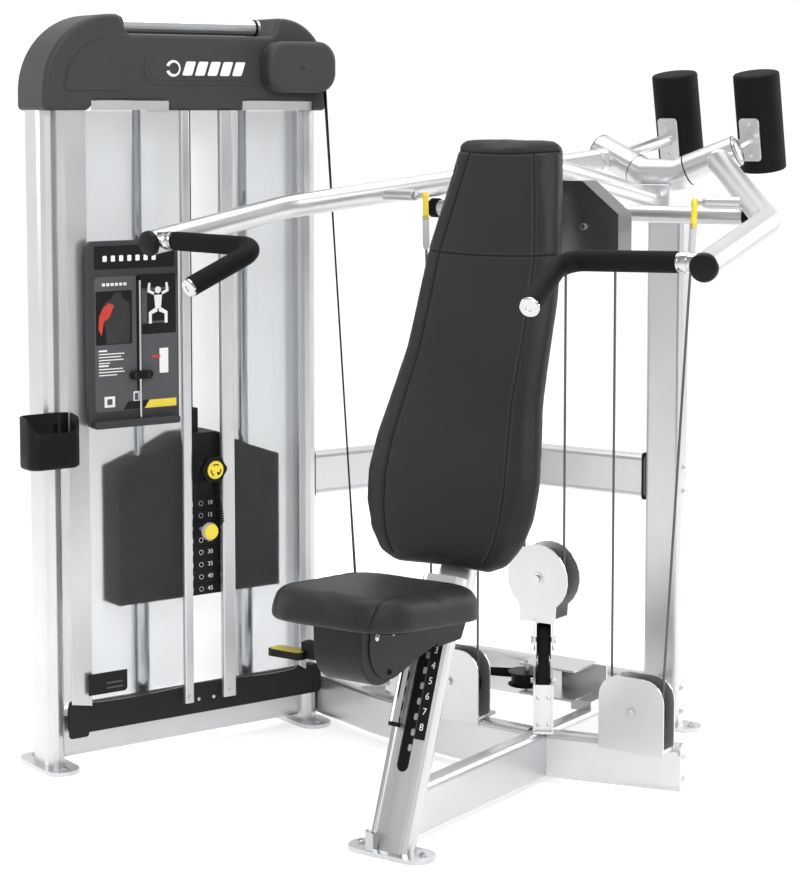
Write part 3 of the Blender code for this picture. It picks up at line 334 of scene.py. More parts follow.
def soft_tube(name, points, radius, material, body, edge=0.004, steps=32):
    """Tube with rounded ends."""
    points = [Vector(p) for p in points]
    first, last = (points[1] - points[0]).normalized(), (points[-1] - points[-2]).normalized()
    head = [points[0] + first * edge * t for t in (0, 0.12, 0.4)]
    tail = [points[-1] - last * edge * t for t in (0.4, 0.12, 0)]
    small = [(radius - edge * t) / radius for t in (1, 0.55, 0.15)]
    path = head + [points[0] + first * edge] + points[1:-1] + [points[-1] - last * edge] + tail
    scales = small + [1] * (len(points)) + small[::-1]
    return sweep(name, path, circle(radius, steps), material, body, up=first.orthogonal(), scales=scales)


def panel(name, outline, corner, across, upward, depth, material, body="frame", **more):
    """Outline extruded both ways by half of depth about its plane."""
    normal = Vector(across).cross(upward).normalized() * depth / 2
    flat = [Vector(corner) + Vector(across) * a + Vector(upward) * b for a, b in outline]
    return add(name, *stacked([[p - normal for p in flat], [p + normal for p in flat]]), material, body,
               **more)


def on_tower(name, outline, corner, depth, material, body="frame", **more):
    """Panel that faces out of the tower's front."""
    return panel(name, outline, corner, ALONG_W, UP, depth, material, body, **more)


def box_outline(a, b):
    return [(a[0], b[0]), (a[1], b[0]), (a[1], b[1]), (a[0], b[1])]


def lathe(name, profile, middle, axis, material, body="frame", steps=48, **more):
    """Solid of revolution through (radius, height) points, the first and last on the axis."""
    axis = Vector(axis).normalized()
    side = axis.orthogonal().normalized()
    other = axis.cross(side)
    verts, rows = [], []
    for radius, height in profile:
        base = Vector(middle) + axis * height
        if radius == 0:
            rows.append([len(verts)] * steps)
            verts.append(base)
            continue
        rows.append(list(range(len(verts), len(verts) + steps)))
        verts += [base + side * a + other * b for a, b in circle(radius, steps)]
    pairs = list(zip(rows, rows[1:]))
    if profile[0][0] > 0:
        pairs.append((rows[-1], rows[0]))
    faces = []
    for low, high in pairs:
        for i in range(steps):
            j = (i + 1) % steps
            faces.append(tuple(dict.fromkeys((low[i], low[j], high[j], high[i]))))
    return add(name, verts, faces, material, body, **more)


def drum(name, radius, low, high, *place, **more):
    """Plain disc or cylinder between two heights."""
    return lathe(name, [(0, low), (radius, low), (radius, high), (0, high)], *place, **more)


def cap_screw(name, middle, axis, radius, body="frame", material=STEEL):
    """Button-head screw with a hexagon socket, on a washer."""
    socket = radius * 0.42
    profile = [(0, -0.001), (radius * 1.35, -0.001), (radius * 1.35, radius * 0.16), (radius, radius * 0.18),
               (radius * 0.92, radius * 0.45), (radius * 0.62, radius * 0.66), (socket, radius * 0.70),
               (socket * 0.95, radius * 0.25), (0, radius * 0.22)]
    return lathe(name, profile, middle, axis, material, body, steps=24, angle=28)


def hex_nut(name, middle, axis, radius, thick, body="frame"):
    axis = Vector(axis).normalized()
    return sweep(name, [Vector(middle), Vector(middle) + axis * thick], circle(radius, 6), STEEL, body,
                 up=axis.orthogonal(), bevel=radius * 0.10)


def numeral(name, text, middle, across, upward, size, body="frame"):
    """Raised number, its front on the plane's far side."""
    curve = bpy.data.curves.new(name, "FONT")
    curve.body = text
    curve.align_x = "CENTER"
    curve.align_y = "CENTER"
    curve.size = size
    curve.extrude = 0.0002
    holder = bpy.data.objects.new(f"{name}_curve", curve)
    bpy.context.collection.objects.link(holder)
    mesh = bpy.data.meshes.new_from_object(holder.evaluated_get(bpy.context.evaluated_depsgraph_get()))
    bpy.data.objects.remove(holder)
    turn = Matrix((across, upward, Vector(across).cross(upward))).transposed().to_4x4()
    mesh.transform(Matrix.Translation(middle) @ turn)
    mesh.materials.clear()
    mesh.materials.append(WHITE)
    piece = bpy.data.objects.new(name, mesh)
    bpy.context.collection.objects.link(piece)
    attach(piece, body)
    return piece


# ------------------------------------------------------------------ lanyard, cable and belt

def lanyard():
    """Coiled lanyard between the increment knob and the selector pin."""
    route = [tower(SLOT - 0.012, 0.082, 0.684), tower(SLOT - 0.018, 0.089, 0.655),
             tower(SLOT - 0.023, 0.09, 0.62), tower(SLOT - 0.028, 0.09, 0.59),
             tower(SLOT - 0.031, 0.09, 0.566), tower(SLOT - 0.021, 0.089, 0.548)]
    lengths = [0]
    for a, b in zip(route, route[1:]):
        lengths.append(lengths[-1] + (b - a).length)
    turns, per_turn, thick, coil = 22, 16, 0.0042, 0.0062
    path = []
    for i in range(turns * per_turn + 1):
        share = i / (turns * per_turn)
        along = share * lengths[-1]
        leg = max(k for k in range(len(route) - 1) if lengths[k] <= along + 1e-9)
        run = (route[leg + 1] - route[leg]).normalized()
        middle = route[leg] + run * (along - lengths[leg])
        fade = min(1, share * 6, (1 - share) * 6)
        turn = 2 * math.pi * i / per_turn
        path.append(middle + (ALONG_W * math.cos(turn) + ALONG_D * math.sin(turn)) * coil * fade)
    cord = sweep("lanyard_coil", path, circle(thick / 2, 10), RUBBER, "weight_stack", up=ALONG_D)
    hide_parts("lanyard")


lanyard()


def in_plane(points):
    return [Vector((x, CABLE_Y, z)) for x, z in points]


def line(start, end, steps):
    start, end = Vector(start), Vector(end)
    return [start.lerp(end, i / steps) for i in range(steps + 1)]


def press_cable():
    """Cable in its separate runs: a rise towards each arm's eye, a run round each side's floor and upper
    pulleys, and the middle loop round the floating pulley.
    """
    pieces = []
    for label, side in (("left", -1), ("right", 1)):
        eye = sided(EYE, side)
        low = sided((FLOOR_X + PULLEY, CABLE_Y, FLOOR_Z), side)
        end = eye + (low - eye).normalized() * 0.120
        path = line(low, end, 24)
        rise = sweep(f"cable_rise_{label}", path, circle(0.003, 12), CABLE, None, up=Y)
        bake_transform(rise)
        path = [sided(p, side) for p in in_plane(arc(FLOOR_X, FLOOR_Z, PULLEY, 0, -180, 32))]
        path += [sided(p, side) for p in in_plane(arc(UPPER_X, UPPER_Z, PULLEY, 0, 180, 32))]
        pieces += [rise, sweep(f"cable_run_{label}", path, circle(0.003, 12), CABLE, up=Y + UP * 0.1)]
    edge = FLOAT_PULLEY
    path = line((edge, CABLE_Y, UPPER_Z), (edge, CABLE_Y, FLOAT_Z), 24)
    path += in_plane(arc(0, FLOAT_Z, FLOAT_PULLEY, 0, -180, 32))[1:]
    path += line((-edge, CABLE_Y, FLOAT_Z), (-edge, CABLE_Y, UPPER_Z), 24)[1:]
    loop = sweep("cable_loop", path, circle(0.003, 12), CABLE, None, up=Y)
    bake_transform(loop)
    pieces.append(loop)
    replace_node("press_cable", *pieces)


def heading(start, aim, first):
    """Direction of a flat belt run that leaves or meets a pulley at a tangent."""
    run = Vector(first)
    for _ in range(12):
        edge = CHANNEL + Vector((-run.y, run.x, 0)) * BELT_RADIUS
        flat = (edge - Vector(aim)) if start else (Vector(aim) - edge)
        run = Vector((flat.x, flat.y, 0)).normalized()
    return run


FLOOR_RUN = heading(True, CORNER, (1, 0, 0))
YOKE_RUN = heading(False, (0, CABLE_Y, BELT_Z), (0.5, -0.86, 0))
EAR_RUN = (tower(EAR_W, EAR_D, 0) - tower(SLOT, 0, 0)).normalized()
BRACKET = Vector((0, CABLE_Y, BELT_Z + BELT_RADIUS)) - YOKE_RUN * 2 * BELT_RADIUS


def belt_arc(middle, start, end, steps=12):
    start, end = Vector(start), Vector(end)
    return [Vector(middle) + start.slerp(end, i / steps).normalized() * BELT_RADIUS for i in range(steps + 1)]


def belt(name, stations, body):
    rings = []
    for i, (point, flat) in enumerate(stations):
        before, after = stations[max(i - 1, 0)][0], stations[min(i + 1, len(stations) - 1)][0]
        run = (after - before).normalized()
        flat = (flat - run * flat.dot(run)).normalized()
        out = run.cross(flat).normalized()
        a, b = flat * (BELT_WIDE / 2 - 0.001), out * BELT_THICK / 2
        c = flat * BELT_WIDE / 2
        rings.append([point - a - b, point + a - b, point + c, point + a + b, point - a + b, point - c])
    return add(name, *stacked(rings), RUBBER, body, angle=50)


def lift_belt():
    """Belt in three runs: up from the stack, over the tower and along the floor, and round the wheel."""
    across = EAR_RUN.cross(UP)
    top = tower(SLOT, 0, TOP_PULLEY_Z) + EAR_RUN * BELT_RADIUS
    start, end = tower(SLOT, 0, 0.8453), tower(SLOT, 0, TOP_PULLEY_Z)
    rise = belt("belt_rise", [(p, across) for p in line(start, end, 20)], None)
    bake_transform(rise)
    run = [(p, across) for p in belt_arc(top, -EAR_RUN, UP)]
    run += [(p, across) for p in belt_arc(tower(EAR_W, EAR_D, TOP_PULLEY_Z), UP, EAR_RUN)]
    run += [(p, FLOOR_RUN.cross(UP)) for p in belt_arc(CORNER, -FLOOR_RUN, -UP)]
    turn = [Vector((-r.y, r.x, 0)) for r in (FLOOR_RUN, YOKE_RUN)]
    run += [(p, -UP) for p in belt_arc(CHANNEL, *turn)]
    across = YOKE_RUN.cross(UP)
    run += [(BRACKET - UP * BELT_RADIUS - YOKE_RUN * 0.03, across)]
    run += [(p, across) for p in belt_arc(BRACKET, -UP, YOKE_RUN)]
    floor = belt("belt_run", run, "frame")
    wheel = Vector((0, CABLE_Y, FLOAT_WHEEL_Z))
    low = BRACKET + YOKE_RUN * BELT_RADIUS
    clamp = Vector((0, CABLE_Y, 0.142)) + YOKE_RUN * BELT_RADIUS
    loop = [(p, across) for p in line(low, wheel - YOKE_RUN * BELT_RADIUS, 8)]
    loop += [(p, across) for p in belt_arc(wheel, -YOKE_RUN, UP)[1:]]
    loop += [(p, across) for p in belt_arc(wheel, UP, YOKE_RUN)[1:]]
    loop += [(p, across) for p in line(wheel + YOKE_RUN * BELT_RADIUS, clamp, 8)[1:]]
    loop = belt("belt_loop", loop, None)
    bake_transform(loop)
    replace_node("lift_belt", rise, floor, loop)


press_cable()
lift_belt()

# ------------------------------------------------------------------ tower

COVER_LOW, COVER_HIGH, COVER_TOP = 1.583, 1.765, 1.811


def cover_outline():
    left, right = 0.757, -0.033
    outline = [(right, COVER_LOW)]
    for start, end in ((0.010, 0.220), (0.420, 0.637)):
        outline += [(start, COVER_LOW), (start + 0.018, COVER_LOW + 0.024), (end - 0.018, COVER_LOW + 0.024),
                    (end, COVER_LOW)]
    outline.append((left, COVER_LOW))
    outline += arc(left - 0.185, COVER_TOP - 0.185, 0.185, 0, 90, 24)
    outline += [(0.560, COVER_TOP), (0.551, COVER_TOP - 0.004),
                (0.532, COVER_HIGH + 0.004), (0.524, COVER_HIGH),
                (0.131, COVER_HIGH), (0.123, COVER_HIGH + 0.004),
                (0.110, COVER_TOP - 0.004), (0.104, COVER_TOP)]
    outline += arc(right + 0.13, COVER_TOP - 0.13, 0.13, 90, 180, 20)
    return outline


def cover():
    """Moulded top cover with its ear, its inset band and a plain oval plaque."""
    back, front = -0.062, 0.0815
    middle = (back + front) / 2
    shell = on_tower("cover_shell", cover_outline(), tower(0, middle, 0), front - back - 0.0005, CHARCOAL,
                     bevel=0.013, angle=50, segments=5)
    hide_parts("top_cover")
    ear = on_tower("cover_ear", rounded(0.2, 0.127, 0.05, 12), tower(0.067, 0.0655, 1.6905), 0.131, CHARCOAL,
                   bevel=0.014, angle=50, segments=5)
    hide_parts("top_cover")
    cheek = [(0.700, 1.629)] + arc(0.585, 1.636, 0.115, 0, 90, 20) + [(0.529, 1.751)]
    cheek += arc(0.559, 1.659, 0.030, 180, 270, 10)
    on_tower("cover_cheek", cheek, tower(0, front, 0), 0.005, CHARCOAL, bevel=0.0022, angle=20)
    on_tower("plaque_field", rounded(0.344, 0.08, 0.038, 14), tower(0.318, front, 1.684), 0.0024, CHARCOAL,
             bevel=0.001, angle=40)
    on_tower("plaque_inner", rounded(0.318, 0.058, 0.028, 14), tower(0.318, front + 0.0012, 1.684), 0.0022,
             CHARCOAL, bevel=0.0009, angle=40)
    swoosh = arc(0.412, 1.684, 0.020, 20, 340, 28) + arc(0.410, 1.684, 0.014, 340, 20, 28)
    on_tower("plaque_ring", swoosh, tower(0, front + 0.0024, 0), 0.0012, WHITE)
    for i in range(5):
        mark = [(a - 0.0060 * b / 0.017, b) for a, b in rounded(0.027, 0.034, 0.004, 5)]
        on_tower(f"plaque_mark_{i}", mark, tower(0.368 - 0.035 * i, front + 0.0024, 1.684), 0.0012, WHITE)
    cap_screw("ear_screw", tower(0.067, 0.131, 1.6905), ALONG_D, 0.006, "frame", CHARCOAL)
    for w in (0.138, 0.518):
        lathe(f"handle_collar_{int(w * 1000)}", [(0, 0), (0.0212, 0), (0.0212, 0.006), (0.0195, 0.007),
                                                 (0, 0.007)], tower(w, 0.012, COVER_HIGH + 0.0225), ALONG_W,
              BLACK)


def tower_details():
    for label, w in (("rear", 0), ("front", TOWER_WIDE)):
        for end in (-1, 1):
            at = tower(w, end * 0.080, 0.010)
            cap_screw(f"tower_foot_{label}_{'back' if end < 0 else 'user'}", at, UP, 0.0085, "frame")
    for label, w in (("left", SLOT + 0.0425 + 0.0125), ("right", SLOT - 0.0425 - 0.0185)):
        lathe(f"rail_screw_low_{label}", [(0, 0), (0.006, 0), (0.005, 0.0025), (0, 0.003)],
              tower(w, 0.078, 0.135), ALONG_D, STEEL, steps=20)
    for label, a in (("left", (0.645, 0.699)), ("right", (0.0265, 0.045))):
        outline = [(a[0], 0.152), (a[1], 0.162), (a[1], 1.582), (a[0], 1.582)]
        depth = 0.072 if label == "left" else 0.066
        on_tower(f"shield_edge_{label}", outline, tower(0, depth, 0), 0.003, SILVER, bevel=0.001)
    for label, a in (("left", (0.424, 0.633)), ("right", (0.014, 0.216))):
        on_tower(f"shield_top_{label}", box_outline(a, (1.5835, 1.606)), tower(0, 0.0816, 0), 0.001, SILVER)
    on_tower("skirt_corner", rounded(0.052, 0.092, 0.008), tower(0.676, 0.062, 0.1215), 0.01, INK,
             bevel=0.003)
    for w in (0.300, 0.343):
        lathe(f"skirt_screw_{int(w * 1000)}", [(0, 0), (0.005, 0), (0.004, 0.002), (0, 0.0024)],
              tower(w, 0.062, 0.12), ALONG_D, STEEL, steps=20)
    on_tower("skirt_lip", box_outline((-0.018, 0.696), (0.153, 0.16)), tower(0, 0.063, 0), 0.003, INK,
             bevel=0.001)
    plate = [(0.555, 0.186), (0.561, 0.180), (0.660, 0.180), (0.660, 0.232), (0.555, 0.232)]
    on_tower("side_plate", plate, tower(0, 0.0835, 0), 0.0016, PANEL, bevel=0.0004)
    for row in range(2):
        line_z = (0.203 - row * 0.012, 0.207 - row * 0.012)
        on_tower(f"side_plate_line_{row}", box_outline((0.568, 0.612), line_z), tower(0, 0.0845, 0), 0.0006,
                 GREY_PRINT)


def figure(prefix, w, z, size, material, depth):
    """Pictogram of a seated press: head, trunk, raised arms and bent legs."""
    head = [(w + a, z + 0.34 * size + b) for a, b in circle(0.085 * size, 20)]
    on_tower(f"{prefix}_head", head, tower(0, depth, 0), 0.0006, material)
    trunk = [(w - 0.11 * size, z + 0.22 * size), (w + 0.11 * size, z + 0.22 * size),
             (w + 0.075 * size, z - 0.12 * size), (w - 0.075 * size, z - 0.12 * size)]
    on_tower(f"{prefix}_trunk", trunk, tower(0, depth, 0), 0.0006, material)
    for label, side in (("a", -1), ("b", 1)):
        arm = [(0.12, 0.22), (0.30, 0.30), (0.27, 0.52), (0.21, 0.52), (0.22, 0.34), (0.10, 0.29)]
        leg = [(0.02, -0.1), (0.09, -0.1), (0.26, -0.2), (0.26, -0.48), (0.18, -0.48), (0.18, -0.25),
               (0.02, -0.19)]
        for part, outline in (("arm", arm), ("leg", leg)):
            shape = [(w + side * a * size, z + b * size) for a, b in outline]
            on_tower(f"{prefix}_{part}_{label}", shape, tower(0, depth, 0), 0.0006, material)


def placard():
    """Instruction panel: header, picture boxes, rows of plain bars, a yellow strip and the counter rod."""
    body = on_tower("placard_body", rounded(0.246, 0.444, 0.016, 8), tower(0.5385, 0.097, 1.053), 0.0178,
                    CHARCOAL, bevel=0.003, angle=40)
    tray = on_tower("placard_tray", rounded(0.23, 0.018, 0.006, 6), tower(0.54, 0.114, 0.839), 0.0276,
                    CHARCOAL, bevel=0.002, angle=40)
    replace_node("placard", body, tray)

    face, film = 0.1059, 0.0004

    def sheet(name, a, b, layer, material, corner=0.0):
        """Flat print between two w and two z values; layer counts up from the placard's face."""
        wide, high = a[1] - a[0], b[1] - b[0]
        outline = rounded(wide, high, corner, 5) if corner else box_outline((-wide / 2, wide / 2),
                                                                            (-high / 2, high / 2))
        middle = tower((a[0] + a[1]) / 2, face + layer * film, (b[0] + b[1]) / 2)
        on_tower(name, outline, middle, 0.0005, material)

    sheet("placard_header", (0.426, 0.644), (1.208, 1.264), 0.4, PANEL, 0.004)
    for i in range(7):
        sheet(f"header_mark_{i}", (0.478 + 0.022 * i, 0.489 + 0.022 * i), (1.226, 1.24), 1.2, WHITE, 0.002)
    sheet("placard_sheet", (0.42, 0.644), (0.868, 1.19), 0.4, GREY_PRINT, 0.01)
    sheet("picture_left", (0.544, 0.641), (1.028, 1.156), 1.2, PANEL, 0.003)
    sheet("picture_right", (0.424, 0.523), (1.048, 1.192), 1.2, PANEL, 0.003)
    for i in range(6):
        sheet(f"title_mark_{i}", (0.558 + 0.0115 * i, 0.566 + 0.0115 * i), (1.168, 1.175), 1.2, WHITE)
    torso = [(0.552, 1.030), (0.612, 1.030), (0.616, 1.070), (0.628, 1.100), (0.618, 1.128), (0.598, 1.138),
             (0.592, 1.152), (0.574, 1.152), (0.570, 1.138), (0.552, 1.128), (0.548, 1.090)]
    on_tower("torso", torso, tower(0, 0.1065, 0), 0.0005, TORSO_PRINT)
    shoulder = [(0.592, 1.122), (0.606, 1.128), (0.622, 1.116), (0.632, 1.096), (0.634, 1.066), (0.626, 1.05),
                (0.62, 1.084), (0.606, 1.092)]
    on_tower("torso_shoulder", shoulder, tower(0, 0.1069, 0), 0.0005, RED_PRINT)
    sheet("machine_post", (0.503, 0.517), (1.078, 1.158), 2.2, GREY_PRINT)
    sheet("machine_bar", (0.44, 0.512), (1.154, 1.159), 2.2, GREY_PRINT)
    sheet("machine_foot", (0.452, 0.517), (1.074, 1.079), 2.2, GREY_PRINT)
    figure("pictogram", 0.473, 1.120, 0.098, WHITE, 0.1072)
    for i in range(9):
        wide = (0.022, 0.068, 0.060, 0.066, 0.030, 0.026, 0.064, 0.068, 0.048)[i]
        z = 1.012 - i * 0.0072
        sheet(f"text_line_{i}", (0.634 - wide, 0.634), (z, z + (0.0038 if wide < 0.03 else 0.0024)), 1.2,
              WHITE)
    sheet("small_picture", (0.446, 0.47), (0.952, 1.012), 1.2, WHITE)
    sheet("small_picture_red", (0.468, 0.492), (0.99, 0.996), 2.2, RED_PRINT)
    sheet("rod_slot", (0.517, 0.532), (0.905, 1.19), 1.2, PANEL, 0.004)
    sheet("square", (0.592, 0.62), (0.878, 0.904), 1.2, WHITE)
    sheet("square_inner", (0.599, 0.613), (0.884, 0.898), 2.2, GREY_PRINT)
    sheet("icon", (0.526, 0.542), (0.886, 0.912), 1.2, WHITE, 0.003)
    sheet("icon_inner", (0.529, 0.539), (0.891, 0.908), 2.2, GREY_PRINT)
    strip = [(0.425, 0.870), (0.512, 0.870), (0.498, 0.889), (0.425, 0.889)]
    on_tower("yellow_strip", strip, tower(0, 0.1069, 0), 0.0005, YELLOW)
    strip = [(0.514, 0.870), (0.570, 0.870), (0.556, 0.889), (0.500, 0.889)]
    on_tower("dark_strip", strip, tower(0, 0.1069, 0), 0.0005, PANEL)
    tube("counter_rod", tower(0.524, 0.1095, 0.849), tower(0.524, 0.1095, 1.185), 0.0032, CHROME, steps=20)
    lathe("counter_rod_top", [(0, -0.004), (0.006, -0.004), (0.0065, 0), (0.006, 0.006), (0, 0.007)],
          tower(0.524, 0.1095, 1.183), UP, BLACK, steps=24)
    knob = on_tower("counter_knob", rounded(0.062, 0.02, 0.0095, 8), tower(0.524, 0.115, 0.952), 0.0096,
                    BLACK, "counter", bevel=0.003, angle=50)
    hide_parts("counter_slider")
    for side in (-1, 1):
        on_tower(f"counter_knob_rib_{side + 1}", rounded(0.003, 0.013, 0.001),
                 tower(0.524 + side * 0.018, 0.12, 0.952), 0.0008, CHARCOAL, "counter")


def bottle_holder():
    """Open cup with a scooped front and a clamp band round the upright."""
    outer, wall, low, high = rounded(0.135, 0.0795, 0.026, 8), 0.005, 0.745, 0.869
    middle = tower(0.7575, 0.0903, 0)
    rings = []
    for z, shrink in ((low, 0.006), (low + 0.004, 0.001), (low + 0.01, 0), (high - 0.002, 0), (high, 0.0015),
                      (high, wall - 0.0015), (high - 0.002, wall), (low + 0.012, wall),
                      (low + 0.007, wall + 0.004)):
        ring = []
        for a, b in outer:
            scale_a, scale_b = (0.0675 - shrink) / 0.0675, (0.03975 - shrink) / 0.03975
            dip = 0.038 * max(0, b / 0.03975) ** 2 if z > low + 0.02 else 0
            ring.append(middle + ALONG_W * a * scale_a + ALONG_D * b * scale_b + UP * (z - dip))
        rings.append(ring)
    cup = add("bottle_cup", *stacked(rings), BLACK, angle=40)
    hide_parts("bottle_holder")
    ring = rounded(0.062, 0.112, 0.030, 8)
    inner = [(a * 0.052 / 0.062, b * 0.101 / 0.112) for a, b in ring]
    verts, faces = [], []
    for z in (0.775, 0.842):
        for loop in (ring, inner):
            verts += [tower(TOWER_WIDE + a, b, z) for a, b in loop]
    count = len(ring)
    for i in range(count):
        j = (i + 1) % count
        for low_row, high_row in ((0, 2), (1, 3), (0, 1), (2, 3)):
            faces.append((low_row * count + i, low_row * count + j, high_row * count + j,
                          high_row * count + i))
    add("cup_band", verts, faces, BLACK, angle=40)


def stack_details():
    """Plate faces with their pin holes and numbers, the head's label, the knob and the selector pin."""
    front, first, pitch = 0.0422, 0.609, 0.0309
    for row in range(8):
        z = first - row * pitch
        body = "weight_stack" if row < 3 else "frame"
        on_tower(f"plate_face_{row}", box_outline((SLOT - 0.229, SLOT + 0.229), (z - 0.014, z + 0.014)),
                 tower(0, front, 0), 0.0026, IRON, body, bevel=0.001)
        if row != 2:
            lathe(f"plate_hole_{row}", [(0, 0), (0.0062, 0), (0.0062, 0.0006), (0.0048, 0.0006),
                                        (0.0046, 0.0002), (0, 0.0002)], tower(SLOT, front + 0.0013, z),
                  ALONG_D, STEEL, body, steps=20)
            # Dark disc in each pin hole: painted shade for the hole's depth.
            drum(f"plate_hole_painted_shade_{row}", 0.0046, 0, 0.0004, tower(SLOT, front + 0.0013, z), ALONG_D, DARK,
                 body, steps=20)
        text = str(5 * (row + 1) + 5)
        numeral(f"plate_number_{row}", text, tower(SLOT - 0.026, front + 0.0016, z), -ALONG_W, UP, 0.015,
                body)
    on_tower("head_label", box_outline((SLOT - 0.034, SLOT + 0.034), (0.634, 0.664)), tower(0, front, 0),
             0.0012, PANEL, "weight_stack")
    for row in range(8):
        z = first - row * pitch
        on_tower(f"plate_tag_{row}", rounded(0.013, 0.017, 0.005), tower(SLOT + 0.03, front + 0.0016, z),
                 0.0008, WHITE, "weight_stack" if row < 3 else "frame")
    knob = tower(SLOT - 0.008, 0.0423, 0.700)
    lobes = []
    for i in range(96):
        turn = 2 * math.pi * i / 96
        radius = 0.0335 + 0.0023 * math.cos(6 * turn)
        lobes.append((radius * math.cos(turn), radius * math.sin(turn)))
    grip = on_tower("knob_grip", lobes, knob + ALONG_D * 0.05, 0.021, BLACK, "knob", bevel=0.005, angle=50,
                    segments=4)
    stem = drum("knob_stem", 0.0155, 0.0004, 0.04, knob, ALONG_D, STEEL, "knob", steps=40)
    replace_node("increment_knob", grip, stem)
    face = [(0, 0.0595), (0.0215, 0.0595), (0.0225, 0.0606), (0.0215, 0.0622), (0.018, 0.0624), (0, 0.0624)]
    lathe("knob_face", face, knob, ALONG_D, YELLOW, "knob")
    for i in range(3):
        turn = 90 + 120 * i
        outline = arc(0, 0, 0.0150, turn - 36, turn + 36, 8) + arc(0, 0, 0.0122, turn + 36, turn - 36, 8)
        on_tower(f"knob_mark_{i}", outline, knob + ALONG_D * 0.0626, 0.0008, DARK, "knob")
    on_tower("knob_mark_dot", circle(0.003, 20), knob + ALONG_D * 0.0626 - UP * 0.008 - ALONG_W * 0.006,
             0.0008, DARK, "knob")
    pin = tower(SLOT, 0.079, 0.545)
    cap = [(0, 0.0130), (0.0180, 0.0130), (0.0196, 0.0145), (0.0186, 0.0172), (0.012, 0.0186), (0, 0.0190)]
    lathe("pin_cap", cap, pin, ALONG_D, YELLOW, "pin")
    rim = lathe("pin_rim", [(0, -0.064), (0.0042, -0.064), (0.0049, -0.0625), (0.0049, 0), (0.02, 0.002),
                            (0.0219, 0.004), (0.0219, 0.01), (0.02, 0.0136), (0, 0.0138)], pin, ALONG_D,
                SLEEVE, "pin")
    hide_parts("selector_pin")
    for label, w in (("right", SLOT - 0.15), ("left", SLOT + 0.15)):
        lathe(f"rod_bush_{label}", [(0.0136, 0), (0.02, 0), (0.02, 0.006), (0.018, 0.008), (0.0136, 0.008)],
              tower(w, 0, 0.7155 + 0.0005), UP, BLACK, "weight_stack", steps=32)


# ------------------------------------------------------------------ frame

def frame_details():
    cap_screw("post_foot_left", (-0.08, POST_FOOT_Y, 0.01), UP, 0.0085)
    cap_screw("post_foot_right", (0.08, POST_FOOT_Y, 0.01), UP, 0.0085)
    for side in (-1, 1):
        cap_screw(f"rear_foot_{side + 1}", (side * 0.08, 0, 0.01), UP, 0.0085)
        cap_screw(f"rear_brace_screw_{side + 1}", (0.034, 0.0255, BRACE_Z + side * 0.03), Y, 0.006)
        for z in (BRACE_Z, 0.075):
            label = "mid" if z > 0.5 else "low"
            cap_screw(f"upright_screw_{label}_{side + 1}", (0.0505, 0, z + side * 0.03), X, 0.006)
    panel("brace_flange_right", rounded(0.056, 0.122, 0.01), (-0.0535, 0, BRACE_Z), Y, UP, 0.006, BLACK,
          bevel=0.001)
    panel("brace_flange_left", rounded(0.056, 0.122, 0.01), tower(-0.0285, 0, BRACE_Z), ALONG_D, UP, 0.006,
          BLACK, bevel=0.001)
    lean = math.radians(12.5)
    run = Vector((math.cos(lean), math.sin(lean), 0))
    end = Vector((0.330, -0.614 + 0.330 * math.tan(lean), 0.075)) + run * 0.006
    for z in (-0.026, 0.026):
        cap_screw(f"wing_end_screw_{'low' if z < 0 else 'high'}", end + UP * z, run, 0.0058, "frame")
    for label, side in (("left", -1), ("right", 1)):
        x = side * FLOOR_X
        hex_nut(f"stand_nut_{label}", (x, CABLE_Y - 0.028, FLOOR_Z), -Y, 0.0095, 0.007)
        drum(f"stand_boss_{label}", 0.013, 0, 0.0015, (x, CABLE_Y - 0.0281, FLOOR_Z), -Y, STEEL, steps=32)
        hex_nut(f"stand_nut_back_{label}", (x, CABLE_Y + 0.028, FLOOR_Z), Y, 0.0095, 0.007)
        hex_nut(f"housing_nut_{label}", (side * UPPER_X, CABLE_Y - 0.0312, UPPER_Z), -Y, 0.0085, 0.006)
        hex_nut(f"housing_nut_back_{label}", (side * UPPER_X, CABLE_Y + 0.0312, UPPER_Z), Y, 0.0085, 0.006)
    across = YOKE_RUN.cross(UP)
    for z in (0.150, 0.214):
        at = Vector((0, CABLE_Y, z)) + YOKE_RUN * (BELT_RADIUS + 0.0062)
        for side in (-1, 1):
            cap_screw(f"clamp_screw_{int(z * 1000)}_{side + 1}", at + across * side * 0.012, YOKE_RUN, 0.0045)
    for side in (-1, 1):
        at = Vector((0, CABLE_Y, 0.4925)) + Y * side * 0.0312
        hex_nut(f"float_nut_{side + 1}", at, Y * side, 0.0105, 0.008, "floating_block")
        drum(f"float_washer_{side + 1}", 0.016, -0.0005, 0.0015, at, Y * side, STEEL, "floating_block",
             steps=36)
        wheel = Vector((0, CABLE_Y, FLOAT_WHEEL_Z)) + across * side * 0.0242
        hex_nut(f"yoke_nut_{side + 1}", wheel, across * side, 0.0085, 0.006, "floating_block")
    for side in (-1, 1):
        lathe(f"stop_bumper_{side + 1}", [(0, -0.002), (0.022, -0.002), (0.024, 0.002), (0.024, 0.02),
                                          (0.021, 0.024), (0, 0.024)], (side * 0.4185, -0.42, 1.342),
              X * side, RUBBER)


